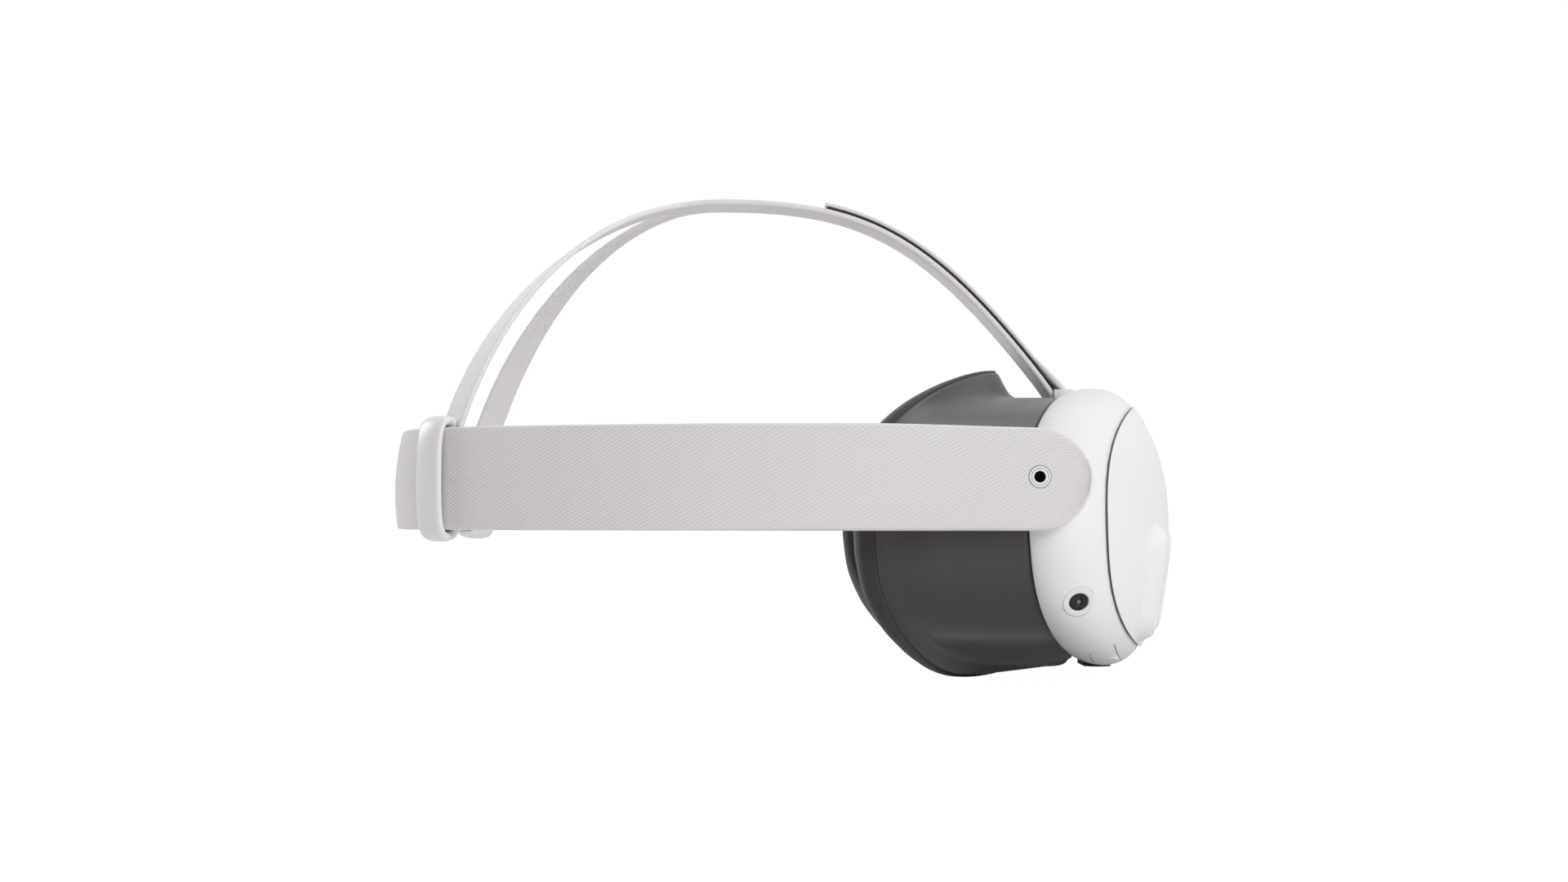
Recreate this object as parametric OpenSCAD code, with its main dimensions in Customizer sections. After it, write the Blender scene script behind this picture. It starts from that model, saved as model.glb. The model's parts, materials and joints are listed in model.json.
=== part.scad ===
// Stand-alone virtual reality headset on a soft fabric head harness.
// +X is the way the wearer looks, +Y is the wearer's left and +Z is up, in millimetres.
// The origin is at the middle of the length and width, level with the lowest point of the face cushion.

/* [Overall] */
// Length from the foremost sensor window to the back of the rear band
overall_length = 260; // [240:1:300]

/* [Visor] */
// Width of the visor housing
visor_w = 168; // [154:1:184]
// Height of the visor housing
visor_h = 91; // [86:0.5:100]
// Height of the visor's centre above the lowest point
visor_z = 49.1; // [46:0.1:56]
// Depth of the housing from its rear edge to the front cover's joint
shell_depth = 22.5; // [21:0.5:26]
// Wall thickness of the housing
wall = 2.2; // [1.6:0.1:2.6]
// How far the sides of the housing sweep back from its middle
visor_wrap = 21; // [14:0.1:22]
// Forward offset of the housing per millimetre below its centre
visor_lean = 0.024; // [0:0.002:0.04]
// Forward offset of the housing's rear edge per millimetre below its centre
rear_lean = 0.053; // [0:0.001:0.06]
// How far the front cover bulges ahead of its joint
cover_dome = 11.5; // [10:0.1:14]
// Width of the dark joint between housing and front cover
cover_gap = 0.8; // [0.5:0.1:1.2]

/* [Sensors] */
// Height of each sensor window frame
pill_h = 31.7; // [26:0.1:34]
// Width of each sensor window frame
pill_w = 13; // [11:0.5:15]
// Height of the sensor windows' centre above the lowest point
pill_z = 30.5; // [28:0.5:34]
// Sideways distance of the outer sensor windows from the middle
pill_y = 46; // [40:0.5:50]
// How far the sensor windows face downwards, in degrees
pill_tilt = 8.6; // [4:0.1:12]
// Radius of each side tracking camera's bezel
side_camera_r = 5; // [4:0.1:6]

/* [Lenses] */
// Distance between the lens centres as modelled
lens_spacing = 64; // [62:0.5:67]
// Radius of the clear lens
lens_r = 20; // [17:0.5:21]
// Radius of the lens barrel
barrel_r = 23; // [21.5:0.1:24]
// Length of the lens barrel
barrel_l = 20; // [16:0.5:21]
// Radius of the two guide rods
rod_r = 1.25; // [1:0.05:1.5]
// Radius of the lens spacing wheel
wheel_r = 8; // [7.5:0.1:8.5]
// Width of the lens spacing wheel
wheel_w = 9; // [7:0.5:10]

/* [Face interface] */
// Half width of the face cushion
cushion_a = 76; // [70:0.5:77]
// Half height of the face cushion
cushion_b = 51.2; // [48:0.1:53]
// How far back from the middle the forehead pad begins, measured from the sensor windows
forehead_set = 63.2; // [60:0.1:66]
// Depth of the face's curve across the cushion
face_curve = 45.5; // [40:0.5:50]
// Width of the cushion's contact face
cushion_w = 13.5; // [11:0.1:15]
// How far the face interface slides out for glasses
face_travel = 10; // [6:0.5:10]

/* [Arms] */
// Thickness of the rigid arm plate
arm_t = 3.8; // [3:0.1:4.5]
// Running gap between the arm and the visor hub
arm_gap = 0.2; // [0.2:0.05:0.5]
// Radius of the hub that the arm turns on
hub_r = 5.5; // [5:0.1:6.5]
// Radius of the headphone socket's bore
jack_r = 1.75; // [1.7:0.01:1.85]

/* [Straps] */
// Width of the side straps and the rear band
strap_w = 32.5; // [28:0.5:36]
// Height of the straps' centre, which is also the arms' pivot
strap_z = 64.4; // [62:0.1:68]
// Thickness of the side straps' fabric
strap_t = 1.9; // [1.4:0.1:2.4]
// Thickness of the padded rear band
band_t = 2.3; // [1.6:0.1:3]
// Radius of the harness round the back of the head
rear_r = 72; // [68:0.5:76]
// Radius of the harness between the ears and the arms
flank_r = 250; // [220:5:320]
// Height of each rear slider
slider_h = 40; // [37:0.5:44]
// Width of each rear slider along the strap
slider_w = 9.5; // [8:0.5:11]
// Angle of each rear slider from the middle of the back
slider_at = 43; // [38:0.5:48]
// Width of the top strap
top_w = 24; // [20:0.5:26]
// Thickness of the top strap's fabric
top_t = 1.8; // [1.4:0.1:2.2]
// Height of the top strap's crown above the lowest point
crown_z = 158; // [150:0.5:166]
// Width of each rear branch of the top strap
branch_w = 14; // [11:0.5:15]

/* [Hidden] */
$fn = 64;

turns = 72;             // steps round each oval ring
oval_n = 3;             // squareness of the visor's outline
cushion_n = 2.5;        // squareness of the cushion's outline
dome_n = 2.6;           // how flat the front cover's middle is
slip = 0.1;             // gap between pieces that are assembled by hand
run = 0.05;             // radial clearance of a running fit
touch = 0.3;            // gap between soft pieces on different bodies

x_front = overall_length / 2;
pill_x = x_front - pill_h / 2 * sin(pill_tilt);
cover_x = x_front - 2.2;
joint_x = cover_x - cover_dome;
rear_inset = 3;         // how much narrower the housing is at its rear edge
joint_inset = 5.8;      // how much narrower the housing is at the front cover's joint
crown_at = 0.45;        // where along its depth the housing is widest

// ---- outline maths ----
function oval(a, b, n, t) = let(
    r = 1 / pow(pow(abs(cos(t)) / a, n) + pow(abs(sin(t)) / b, n), 1 / n)
) [r * cos(t), r * sin(t)];
function visor_oval(inset, t) = oval(visor_w / 2 - inset, visor_h / 2 - inset, oval_n, t);
function sweep_x(y, z) = -visor_wrap * pow(2 * y / visor_w, 2) - visor_lean * z;
function shell_inset(u) = u < crown_at
    ? rear_inset * pow((crown_at - u) / crown_at, 2)
    : joint_inset * pow((u - crown_at) / (1 - crown_at), 2.4);
// A point on the housing: u runs from 0 at its rear edge to 1 at the joint
function shell_point(u, extra, t) = let(p = visor_oval(shell_inset(u) + extra, t))
    [joint_x - shell_depth * (1 - u) + sweep_x(p[0], p[1]) - (1 - u) * (rear_lean - visor_lean) * p[1],
        p[0], visor_z + p[1]];
// A point on a ring that stands off the joint by dx and in by inset
function joint_point(dx, inset, t) = let(p = visor_oval(inset, t))
    [joint_x + dx + sweep_x(p[0], p[1]), p[0], visor_z + p[1]];
function rear_x(y, z) = joint_x - shell_depth + sweep_x(y, z) - (rear_lean - visor_lean) * z;

function ring_faces(n, m) = [for (i = [0:n - 1], j = [0:m - 1]) let(
    i2 = (i + 1) % n, j2 = (j + 1) % m
) each [[i * m + j, i * m + j2, i2 * m + j2], [i * m + j, i2 * m + j2, i2 * m + j]]];

// A closed ring: one list of section points for each step round the oval
module ring_solid(sections)
    polyhedron([for (s = sections) each s], ring_faces(len(sections), len(sections[0])), convexity = 6);

// A closed strip along a path: one list of four section points for each step
module strip_solid(sections) {
    n = len(sections);
    m = len(sections[0]);
    sides = [for (i = [0:n - 2], j = [0:m - 1]) let(j2 = (j + 1) % m)
        each [[i * m + j, i * m + j2, (i + 1) * m + j2], [i * m + j, (i + 1) * m + j2, (i + 1) * m + j]]];
    first = [for (j = [1:m - 2]) [0, j + 1, j]];
    last = [for (j = [1:m - 2]) [(n - 1) * m, (n - 1) * m + j, (n - 1) * m + j + 1]];
    polyhedron([for (s = sections) each s], concat(sides, first, last), convexity = 6);
}

function angles() = [for (i = [0:turns - 1]) 360 * i / turns];

// ---- placing helpers ----
module mirror_left() { mirror([0, 1, 0]) children(); }
module both_sides() { children(); mirror_left() children(); }
module along_x(x, y, z) { translate([x, y, z]) rotate([0, 90, 0]) children(); }
module along_y(x, y, z) { translate([x, y, z]) rotate([-90, 0, 0]) children(); }
// A plate with an oval outline, facing +X
module oval_plate(x, a, b, t) {
    points = [for (k = angles()) oval(a, b, oval_n, k)];
    translate([x, 0, visor_z]) rotate([90, 0, 90]) linear_extrude(t) polygon(points);
}
module stadium(w, h) {
    translate([0, (h - w) / 2]) circle(w / 2);
    translate([0, -(h - w) / 2]) circle(w / 2);
    square([w, h - w], center = true);
}

// ---- visor housing ----
hub_seat_r = 9;
side_y = visor_w / 2;
hub_in = side_y - 3.8;                  // inner end of each hub, from the middle
arm_in = side_y + 2 + arm_gap;          // inner face of each arm
arm_out = arm_in + arm_t;
harness_y = arm_out + slip + strap_t;   // outer face of the side straps
side_rear_x = rear_x(side_y - rear_inset, strap_z - visor_z);
pivot_x = side_rear_x + 3.4;
camera_x = pivot_x + 13;
camera_low = 22.8;                      // how far the side cameras sit under the visor's middle
camera_z = visor_z - camera_low;
camera_pitch = 27;
camera_skin = shell_inset(0.65);
camera_y = (side_y - camera_skin)
    * pow(1 - pow(camera_low / (visor_h / 2 - camera_skin), oval_n), 1 / oval_n) - 0.3;
wheel_x = joint_x - 11.3;
wheel_y = 27;
wheel_z = visor_z - visor_h / 2 + wheel_r - 0.7;
screw_r = 1.8;
dock_x = wheel_x - 1;
dock_z = visor_z - visor_h / 2 - 0.9;
rocker_y = -46;
rocker_l = 28;
rocker_w = 7.4;
rocker_tilt = -11;
rocker_turn = -13;
rocker_x = joint_x - 14;
rocker_z = visor_z - visor_h / 2 + 6;
rocker_gap = 0.3;
rocker_pin_z = 1.4;
rocker_pin_r = 0.8;
power_x = pivot_x + 10.3;
power_z = strap_z - 23.4;
power_r = 3.5;
power_y = side_y - 0.2;
bracket_x = rear_x(0, visor_h / 2) + 0.4;
bracket_z = visor_z + visor_h / 2 - 1.9;
bracket_r = 1.5;
notch_w = top_w + 3;

// Frames at each camera and sensor window, with local +X facing out of the housing
module at_side_camera() {
    translate([camera_x, -camera_y, camera_z]) rotate([0, 0, -80]) rotate([0, camera_pitch, 0]) children();
}
module at_pill(side) {
    x = side == 0 ? pill_x : cover_x + sweep_x(pill_y, 0) - 1.6;
    translate([x, side * pill_y, pill_z]) rotate([0, 0, side * 10]) rotate([0, pill_tilt, 0]) children();
}
module pill_block(w, h, t) rotate([90, 0, 90]) linear_extrude(t) stadium(w, h);
module at_rocker() {
    translate([rocker_x, rocker_y, rocker_z])
        rotate([0, 0, rocker_turn]) rotate([rocker_tilt, 0, 0]) children();
}

module shell_ring() {
    steps = [0, 0.08, 0.2, crown_at, 0.62, 0.76, 0.88, 0.95, 1];
    outer = [for (u = steps) u];
    inner = [for (i = [len(steps) - 1:-2:0]) steps[i]];
    ring_solid([for (t = angles()) concat(
        [for (u = outer) shell_point(u, 0, t)],
        [for (u = inner) shell_point(u, wall, t)])]);
}

// The space inside the housing's outer skin
module shell_fill() {
    steps = [1, 0.76, crown_at, 0.2, 0];
    strip_solid([for (u = steps) [for (t = angles()) shell_point(u, 0.6, t)]]);
}

module rocker_block(grow) {
    linear_extrude(2 * rocker_w, center = true)
        stadium_box(rocker_w + 2 * grow, rocker_l + 2 * grow, 1.6 + grow);
}

module rocker_lugs() {
    at_rocker() for (x = [-1, 1]) translate([x * (rocker_w / 2 + 1.1) - 0.8, -2, -4.5]) cube([1.6, 4, 7.5]);
}

module rocker_pin(r, over) {
    half = rocker_w / 2 + 1.9 + over;
    at_rocker() along_x(-half, 0, rocker_pin_z) cylinder(r = r, h = 2 * half);
}

module visor_shell() {
    color("whitesmoke") difference() {
        union() {
            shell_ring();
            intersection() {
                rocker_lugs();
                shell_fill();
            }
        }
        both_sides() along_y(pivot_x, -side_y - 5, strap_z) cylinder(r = hub_seat_r + slip, h = 12);
        both_sides() at_side_camera() along_x(-8, 0, 0) cylinder(r = side_camera_r + slip, h = 12);
        along_y(wheel_x, wheel_y - wheel_w / 2 - 0.5, wheel_z) cylinder(r = wheel_r + 0.5, h = wheel_w + 1);
        at_rocker() rocker_block(rocker_gap);
        rocker_pin(rocker_pin_r + 0.02, 0.1);
        along_y(power_x, power_y - 10, power_z) cylinder(r = power_r + 0.2, h = 14);
        translate([dock_x, 0, dock_z - 2]) rotate([0, 0, 90])
            linear_extrude(8) rotate(90) stadium(9 + 2 * slip, 26 + 2 * slip);
        translate([bracket_x - 5, -notch_w / 2, bracket_z - 10]) cube([10, notch_w, 14]);
    }
}

module front_cover() {
    rings = [1, 0.97, 0.92, 0.84, 0.72, 0.56, 0.38, 0.2];
    k = len(rings);
    thick = 2;
    base = cover_gap;
    rise = cover_dome - cover_gap;
    back_inset = joint_inset + wall;
    function dome(inset, h, s, t) = let(
        p = visor_oval(inset, t), y = s * p[0], z = s * p[1]
    ) [joint_x + base + h * (1 - pow(s, dome_n)) + sweep_x(y, z), y, visor_z + z];
    front = [for (s = rings) each [for (t = angles()) dome(joint_inset, rise, s, t)]];
    back = [for (s = rings) each [for (t = angles()) dome(back_inset, rise - thick, s, t)]];
    tips = [dome(joint_inset, rise, 0, 0), dome(back_inset, rise - thick, 0, 0)];
    n = turns;
    f0 = k * n;
    tip = 2 * k * n;
    front_faces = [for (i = [0:k - 2], j = [0:n - 1]) let(j2 = (j + 1) % n)
        each [[i * n + j, (i + 1) * n + j, (i + 1) * n + j2], [i * n + j, (i + 1) * n + j2, i * n + j2]]];
    back_faces = [for (i = [0:k - 2], j = [0:n - 1]) let(j2 = (j + 1) % n)
        each [[f0 + i * n + j, f0 + (i + 1) * n + j2, f0 + (i + 1) * n + j],
              [f0 + i * n + j, f0 + i * n + j2, f0 + (i + 1) * n + j2]]];
    rim = [for (j = [0:n - 1]) let(j2 = (j + 1) % n) each [[j, j2, f0 + j2], [j, f0 + j2, f0 + j]]];
    fans = [for (j = [0:n - 1]) let(j2 = (j + 1) % n)
        each [[(k - 1) * n + j, tip, (k - 1) * n + j2],
              [f0 + (k - 1) * n + j, f0 + (k - 1) * n + j2, tip + 1]]];
    color("whitesmoke") difference() {
        polyhedron(concat(front, back, tips), concat(front_faces, back_faces, rim, fans), convexity = 6);
        for (side = [-1:1]) at_pill(side) translate([-14, 0, 0])
            pill_block(pill_w + 2 * slip, pill_h + 2 * slip, 20);
    }
}

module cover_gasket() {
    color("dimgray") ring_solid([for (t = angles()) [
        joint_point(0.05, joint_inset + 0.5, t), joint_point(cover_gap - 0.05, joint_inset + 0.5, t),
        joint_point(cover_gap - 0.05, joint_inset + wall, t), joint_point(0.05, joint_inset + wall, t)]]);
}

// ---- sensors ----
pill_depth = 6;
window_t = 1.2;

module sensor_frame(side) {
    color("white") at_pill(side) difference() {
        translate([-pill_depth, 0, 0]) pill_block(pill_w, pill_h, pill_depth);
        translate([-window_t - 0.4, 0, 0]) pill_block(pill_w - 3, pill_h - 3, window_t + 1);
        translate([-pill_depth - 1, 0, 0]) pill_block(pill_w - 5, pill_h - 5, pill_depth + 2);
    }
}

module sensor_window(side) {
    color("black") at_pill(side) translate([-window_t - 0.4, 0, 0])
        pill_block(pill_w - 3 - slip, pill_h - 3 - slip, window_t);
}

module camera_barrel(z) {
    along_x(-pill_depth - 0.3, 0, z) cylinder(r = 3.4, h = pill_depth - window_t - 0.5);
}

module front_cameras() {
    color("dimgray") {
        for (side = [-1, 1]) at_pill(side) {
            camera_barrel(7.5);
            camera_barrel(-7.5);
        }
        at_pill(0) camera_barrel(0);
    }
}

module side_camera() {
    color("black") at_side_camera() {
        along_x(-0.6, 0, 0) cylinder(r = 3, h = 0.5);
        along_x(-4.2, 0, 0) cylinder(r = 2.6, h = 3.6);
    }
}

module side_camera_bezel() {
    at_side_camera() difference() {
        along_x(-2.4, 0, 0) cylinder(r = side_camera_r, h = 2.5);
        along_x(-3, 0, 0) cylinder(r = 3 + run, h = 4);
    }
}

// ---- inside the visor ----
plate_x = joint_x - 8.8;
board_x = plate_x + 3;
parts_x = board_x + 1.7;
plate_a = visor_w / 2 - 24;
plate_b = visor_h / 2 - 12.4;
rod_x = plate_x - 5.5;
rod_z = 27;
rod_half = 57;
fan_z = visor_z + 15.5;
fan_r = 14;
fan_t = 6.5;

module mid_frame() {
    color("silver") difference() {
        union() {
            oval_plate(plate_x, plate_a, plate_b, 1.5);
            for (y = [-rod_half + 3, 0, rod_half - 3], z = [-rod_z, rod_z])
                translate([rod_x - 2.4, y - 2, visor_z + z - 2.5]) cube([plate_x - rod_x + 2.6, 4, 5]);
        }
        for (y = [-1, 1]) along_x(plate_x - 1, y * lens_spacing / 2, visor_z) cylinder(r = 9, h = 4);
        for (z = [-rod_z, rod_z])
            along_y(rod_x, -rod_half - 1, visor_z + z) cylinder(r = rod_r, h = 2 * rod_half + 2);
        for (p = screw_places) along_x(plate_x - 1, p[0], visor_z + p[1]) cylinder(r = 1.1, h = 4);
        along_y(wheel_x, wheel_y - wheel_w / 2 - 1, wheel_z) cylinder(r = wheel_r + 1, h = wheel_w + 2);
    }
}

screw_places = [[-42, 14], [-42, -12], [42, 14], [42, -12]];

module case_screws() {
    color("gray") for (p = screw_places) along_x(plate_x - 1.4, p[0], visor_z + p[1]) {
        cylinder(r = 1.8, h = 1.4);
        cylinder(r = 1.1, h = board_x - plate_x + 3);
    }
}

module main_board() {
    color("darkgreen") difference() {
        oval_plate(board_x, plate_a - 9, plate_b - 4, 1.6);
        for (p = screw_places) along_x(board_x - 1, p[0], visor_z + p[1]) cylinder(r = 1.1, h = 4);
    }
}

module heat_sink() {
    fins = 7;
    w = 22;
    h = 19;
    color("darkgray") translate([parts_x, -17 - w, visor_z + 2]) {
        cube([1.4, w, h]);
        for (i = [0:fins - 1]) translate([1.2, 0, i * (h - 1) / (fins - 1)]) cube([2.6, w, 1]);
    }
}

module battery() {
    color("dimgray") translate([parts_x, -26, visor_z - 27]) {
        cube([5.5, 52, 24]);
        translate([0.5, 4, 24]) cube([3, 12, 1.6]);
    }
}

module fan_housing() {
    color("dimgray") along_x(parts_x, 0, fan_z) difference() {
        union() {
            cylinder(r = fan_r, h = fan_t);
            translate([-fan_r + 4, 0, 0]) cube([fan_r, fan_r + 3, fan_t]);
        }
        translate([0, 0, 1]) cylinder(r = fan_r - 1.2, h = fan_t - 2);
        translate([0, 0, 1]) cylinder(r = 8, h = fan_t);
        translate([-fan_r + 5.5, 4, 1]) cube([fan_r - 3, fan_r + 3, fan_t - 2]);
    }
}

module fan_impeller() {
    color("black") along_x(parts_x + 1.3, 0, fan_z) {
        cylinder(r = 4.5, h = fan_t - 2.8);
        for (i = [0:12]) rotate(360 * i / 13) translate([3.8, -0.4, 0]) cube([fan_r - 6.4, 0.8, fan_t - 2.8]);
        cylinder(r = 11, h = 0.6);
    }
}

module guide_rods() {
    color("silver") for (z = [-rod_z, rod_z])
        along_y(rod_x, -rod_half, visor_z + z) cylinder(r = rod_r, h = 2 * rod_half);
}

// ---- lens spacing drive ----
nut_y = 14;
nut_w = 6;
screw_from = -26;
screw_to = 35.5;

module ipd_wheel() {
    ridges = 36;
    color("dimgray") along_y(wheel_x, wheel_y - wheel_w / 2, wheel_z) difference() {
        cylinder(r = wheel_r, h = wheel_w);
        translate([0, 0, -1]) cylinder(r = screw_r, h = wheel_w + 2);
        for (i = [0:ridges - 1]) rotate(360 * i / ridges)
            translate([wheel_r + 0.2, 0, -1]) cylinder(r = 0.45, h = wheel_w + 2, $fn = 16);
    }
}

module lead_screw() {
    color("silver") along_y(wheel_x, screw_from, wheel_z) {
        cylinder(r = screw_r, h = screw_to - screw_from);
    }
}

module screw_bearings() {
    color("dimgray") for (y = [screw_from + 0.5, screw_to - 3]) difference() {
        translate([wheel_x - 3, y, wheel_z - 1.9 - screw_r + 1.5]) cube([6, 2.5, 7]);
        along_y(wheel_x, y - 1, wheel_z) cylinder(r = screw_r + run, h = 5);
    }
}

// ---- lens modules ----
barrel_front = plate_x - 3.5;
barrel_rear = barrel_front - barrel_l;
arm_plate_x = barrel_front - 5;

module lens_barrel() {
    y = -lens_spacing / 2;
    color("dimgray") difference() {
        union() {
            along_x(barrel_rear, y, visor_z) cylinder(r = barrel_r, h = barrel_l);
            translate([rod_x - 2.6, y - 8, visor_z - rod_z - 2.6])
                cube([barrel_front - rod_x + 2.6, 16, 2 * rod_z + 5.2]);
            translate([arm_plate_x, -nut_y - nut_w / 2, wheel_z]) cube([5, nut_w, visor_z - 15 - wheel_z]);
            along_y(wheel_x, -nut_y - nut_w / 2, wheel_z) cylinder(r = 3, h = nut_w);
            translate([arm_plate_x, -nut_y - nut_w / 2, wheel_z]) cube([wheel_x - arm_plate_x, nut_w, 3]);
        }
        along_x(barrel_rear - 1, y, visor_z) cylinder(r = lens_r, h = barrel_l + 2);
        for (z = [-rod_z, rod_z]) along_y(rod_x, y - 10, visor_z + z) cylinder(r = rod_r + run, h = 40);
        along_y(wheel_x, -nut_y - nut_w / 2 - 1, wheel_z) cylinder(r = screw_r + run, h = nut_w + 2);
    }
}

module lens() {
    bulge = 60;
    sag = bulge - sqrt(bulge * bulge - lens_r * lens_r);
    color("lightblue") along_x(barrel_rear + 1, -lens_spacing / 2, visor_z) intersection() {
        cylinder(r = lens_r - run, h = 9);
        translate([0, 0, bulge]) sphere(bulge, $fn = 96);
    }
}

module display() {
    color("black") along_x(barrel_front - 3, -lens_spacing / 2, visor_z) cylinder(r = lens_r - run, h = 2.4);
}

module lens_curtain() {
    hole = barrel_r + 0.6;
    reach = 4.2;
    x = barrel_rear + 6;
    color("black") difference() {
        oval_plate(x, visor_w / 2 - 9.5, visor_h / 2 - 9.5, 1);
        for (side = [-1, 1]) hull() for (d = [-reach, reach])
            along_x(x - 1, side * lens_spacing / 2 + d, visor_z) cylinder(r = hole, h = 3, $fn = 64);
    }
}

// ---- hubs and sockets ----
neck_r = 3.3;
washer_t = 0.6;
boss_out = arm_out + 0.1;
neck_out = harness_y + 0.2;

module hub_body() {
    along_y(pivot_x, -side_y - 2, strap_z) cylinder(r = hub_seat_r, h = side_y + 2 - hub_in);
    along_y(pivot_x, -boss_out, strap_z) cylinder(r = hub_r, h = boss_out - side_y);
    along_y(pivot_x, -neck_out, strap_z) cylinder(r = neck_r, h = neck_out - side_y);
}

module hub_right() {
    color("white") difference() {
        hub_body();
        along_y(pivot_x, -neck_out - 1, strap_z) cylinder(r = jack_r + 0.8, h = 20);
    }
}

module usb_hole(w, h, depth) {
    along_y(pivot_x, -neck_out - 0.01, strap_z) linear_extrude(depth) rotate(90) stadium(h, w);
}

module hub_left() {
    color("white") mirror_left() difference() {
        hub_body();
        usb_hole(5.6, 2.2, 20);
    }
}

module hub_washer() along_y(pivot_x, -boss_out - washer_t, strap_z) difference() {
    cylinder(r = 7.5, h = washer_t);
    translate([0, 0, -1]) cylinder(r = neck_r + run, h = washer_t + 2);
}

module headphone_socket() {
    color("silver") along_y(pivot_x, -neck_out, strap_z) difference() {
        cylinder(r = jack_r + 0.75, h = neck_out - hub_in);
        translate([0, 0, -1]) cylinder(r = jack_r, h = neck_out - hub_in);
    }
}

module usb_socket() {
    color("silver") mirror_left() difference() {
        translate([0, 0.6, 0]) usb_hole(5.5, 2.1, 11);
        usb_hole(4.9, 1.5, 9);
    }
}

// ---- controls ----
module power_button() {
    color("whitesmoke") along_y(power_x, power_y - 5, power_z) cylinder(r = power_r, h = 5);
}

module volume_rocker() {
    color("whitesmoke") difference() {
        union() {
            intersection() {
                shell_ring();
                at_rocker() rocker_block(0);
            }
            at_rocker() translate([0, 0, 0]) cube([rocker_w - 0.4, 5, 5.4], center = true);
        }
        rocker_pin(rocker_pin_r + run, 2);
    }
}

module volume_pin() {
    color("silver") rocker_pin(rocker_pin_r, 0);
}

module dock_pad() {
    color("dimgray") difference() {
        translate([dock_x, 0, dock_z]) linear_extrude(3) stadium(9, 26);
        for (y = [-5, 5]) translate([dock_x, y, dock_z - 1]) cylinder(r = 1.6, h = 6);
    }
}

module dock_contacts() {
    color("gold") for (y = [-5, 5]) translate([dock_x, y, dock_z + 0.2]) cylinder(r = 1.5, h = 3.4);
}

// ---- top strap path in the X-Z plane ----
function bezier(p, t) = let(u = 1 - t)
    p[0] * u * u * u + 3 * p[1] * t * u * u + 3 * p[2] * t * t * u + p[3] * t * t * t;
function slope(p, t) = let(u = 1 - t)
    (p[1] - p[0]) * u * u + 2 * (p[2] - p[1]) * t * u + (p[3] - p[2]) * t * t;
function unit(v) = v / norm(v);

rear_c = rear_r - overall_length / 2;     // centre of the rear arc along X
slider_mid_r = rear_r - (strap_t + band_t) / 2;
slider_x = rear_c - slider_mid_r * cos(slider_at);
slider_y = slider_mid_r * sin(slider_at);
slider_top = strap_z + slider_h / 2;
crown_x = -22;
tab_t = 1.2;
tape_t = 0.9;
loop_r = bracket_r + 0.15;
crown = [crown_x, crown_z - top_t / 2];
front_path = [[bracket_x - loop_r - top_t / 2, bracket_z + 0.4],
    [bracket_x - 44, bracket_z + 55], [crown_x + 48, crown[1]], crown];
branch_foot = [slider_x + 5, slider_top + 0.4];
rear_path = [crown, [crown_x - 34, crown[1]], branch_foot + [16, 45], branch_foot];
fork_t = 0.1;                             // where the top strap divides
pivot_clear = 12 + bracket_z - strap_z + 4; // how far from the pivot the harness's part of the strap begins
tab_end = 0.72;

// A point beside a path: off is positive above it
function beside(p, t, off) = let(d = unit(slope(p, t))) bezier(p, t) + off * [d[1], -d[0]];
module upright(w) translate([0, w / 2, 0]) rotate([90, 0, 0]) linear_extrude(w) children();
module ribbon2d(p, t0, t1, low, high, steps = 28) {
    ts = [for (i = [0:steps]) t0 + (t1 - t0) * i / steps];
    polygon(concat([for (t = ts) beside(p, t, low)], [for (i = [steps:-1:0]) beside(p, ts[i], high)]));
}
module pivot_zone(r) along_y(pivot_x, -top_w, strap_z) cylinder(r = r, h = 2 * top_w, $fn = 128);

module strap_bracket() {
    ear = 1.3;
    color("whitesmoke") {
        along_y(bracket_x, -notch_w / 2 + ear / 2, bracket_z) cylinder(r = bracket_r, h = notch_w - ear);
        both_sides() translate([bracket_x - 2.2, -notch_w / 2, bracket_z - 2.6]) cube([6.5, ear, 4.4]);
    }
}

module main_layer() ribbon2d(front_path, 0, 1, -top_t / 2, top_t / 2);
module tab_layers(low, high) ribbon2d(front_path, 0.045, tab_end, low, high);

module top_strap_loop() {
    color("whitesmoke") {
        intersection() {
            upright(top_w) main_layer();
            pivot_zone(pivot_clear);
        }
        intersection() {
            upright(top_w) tab_layers(top_t / 2, top_t / 2 + tape_t + tab_t);
            pivot_zone(pivot_clear);
        }
        difference() {
            along_y(bracket_x, -top_w / 2, bracket_z) cylinder(r = loop_r + top_t, h = top_w);
            along_y(bracket_x, -top_w, bracket_z) cylinder(r = loop_r, h = 2 * top_w);
            translate([bracket_x - 10, -top_w, bracket_z + 0.4]) cube([20, 2 * top_w, 10]);
        }
        upright(top_w) polygon([
            [bracket_x + loop_r + 0.35, bracket_z + 0.3], [bracket_x + loop_r + top_t, bracket_z + 0.3],
            beside(front_path, 0.06, top_t / 2 + tape_t + tab_t), beside(front_path, 0.05, top_t / 2)]);
    }
}

module top_strap() {
    color("whitesmoke") {
        difference() {
            upright(top_w) main_layer();
            pivot_zone(pivot_clear + touch);
        }
        upright(top_w) ribbon2d(rear_path, 0, fork_t, -top_t / 2, top_t / 2, 4);
    }
}

module top_strap_tab() {
    color("white") difference() {
        upright(top_w) tab_layers(top_t / 2 + tape_t, top_t / 2 + tape_t + tab_t);
        pivot_zone(pivot_clear + touch);
    }
}

module hook_tape() {
    color("dimgray") difference() {
        upright(top_w - 2) tab_layers(top_t / 2 + 0.05, top_t / 2 + tape_t - 0.05);
        pivot_zone(pivot_clear + touch);
    }
}

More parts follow.
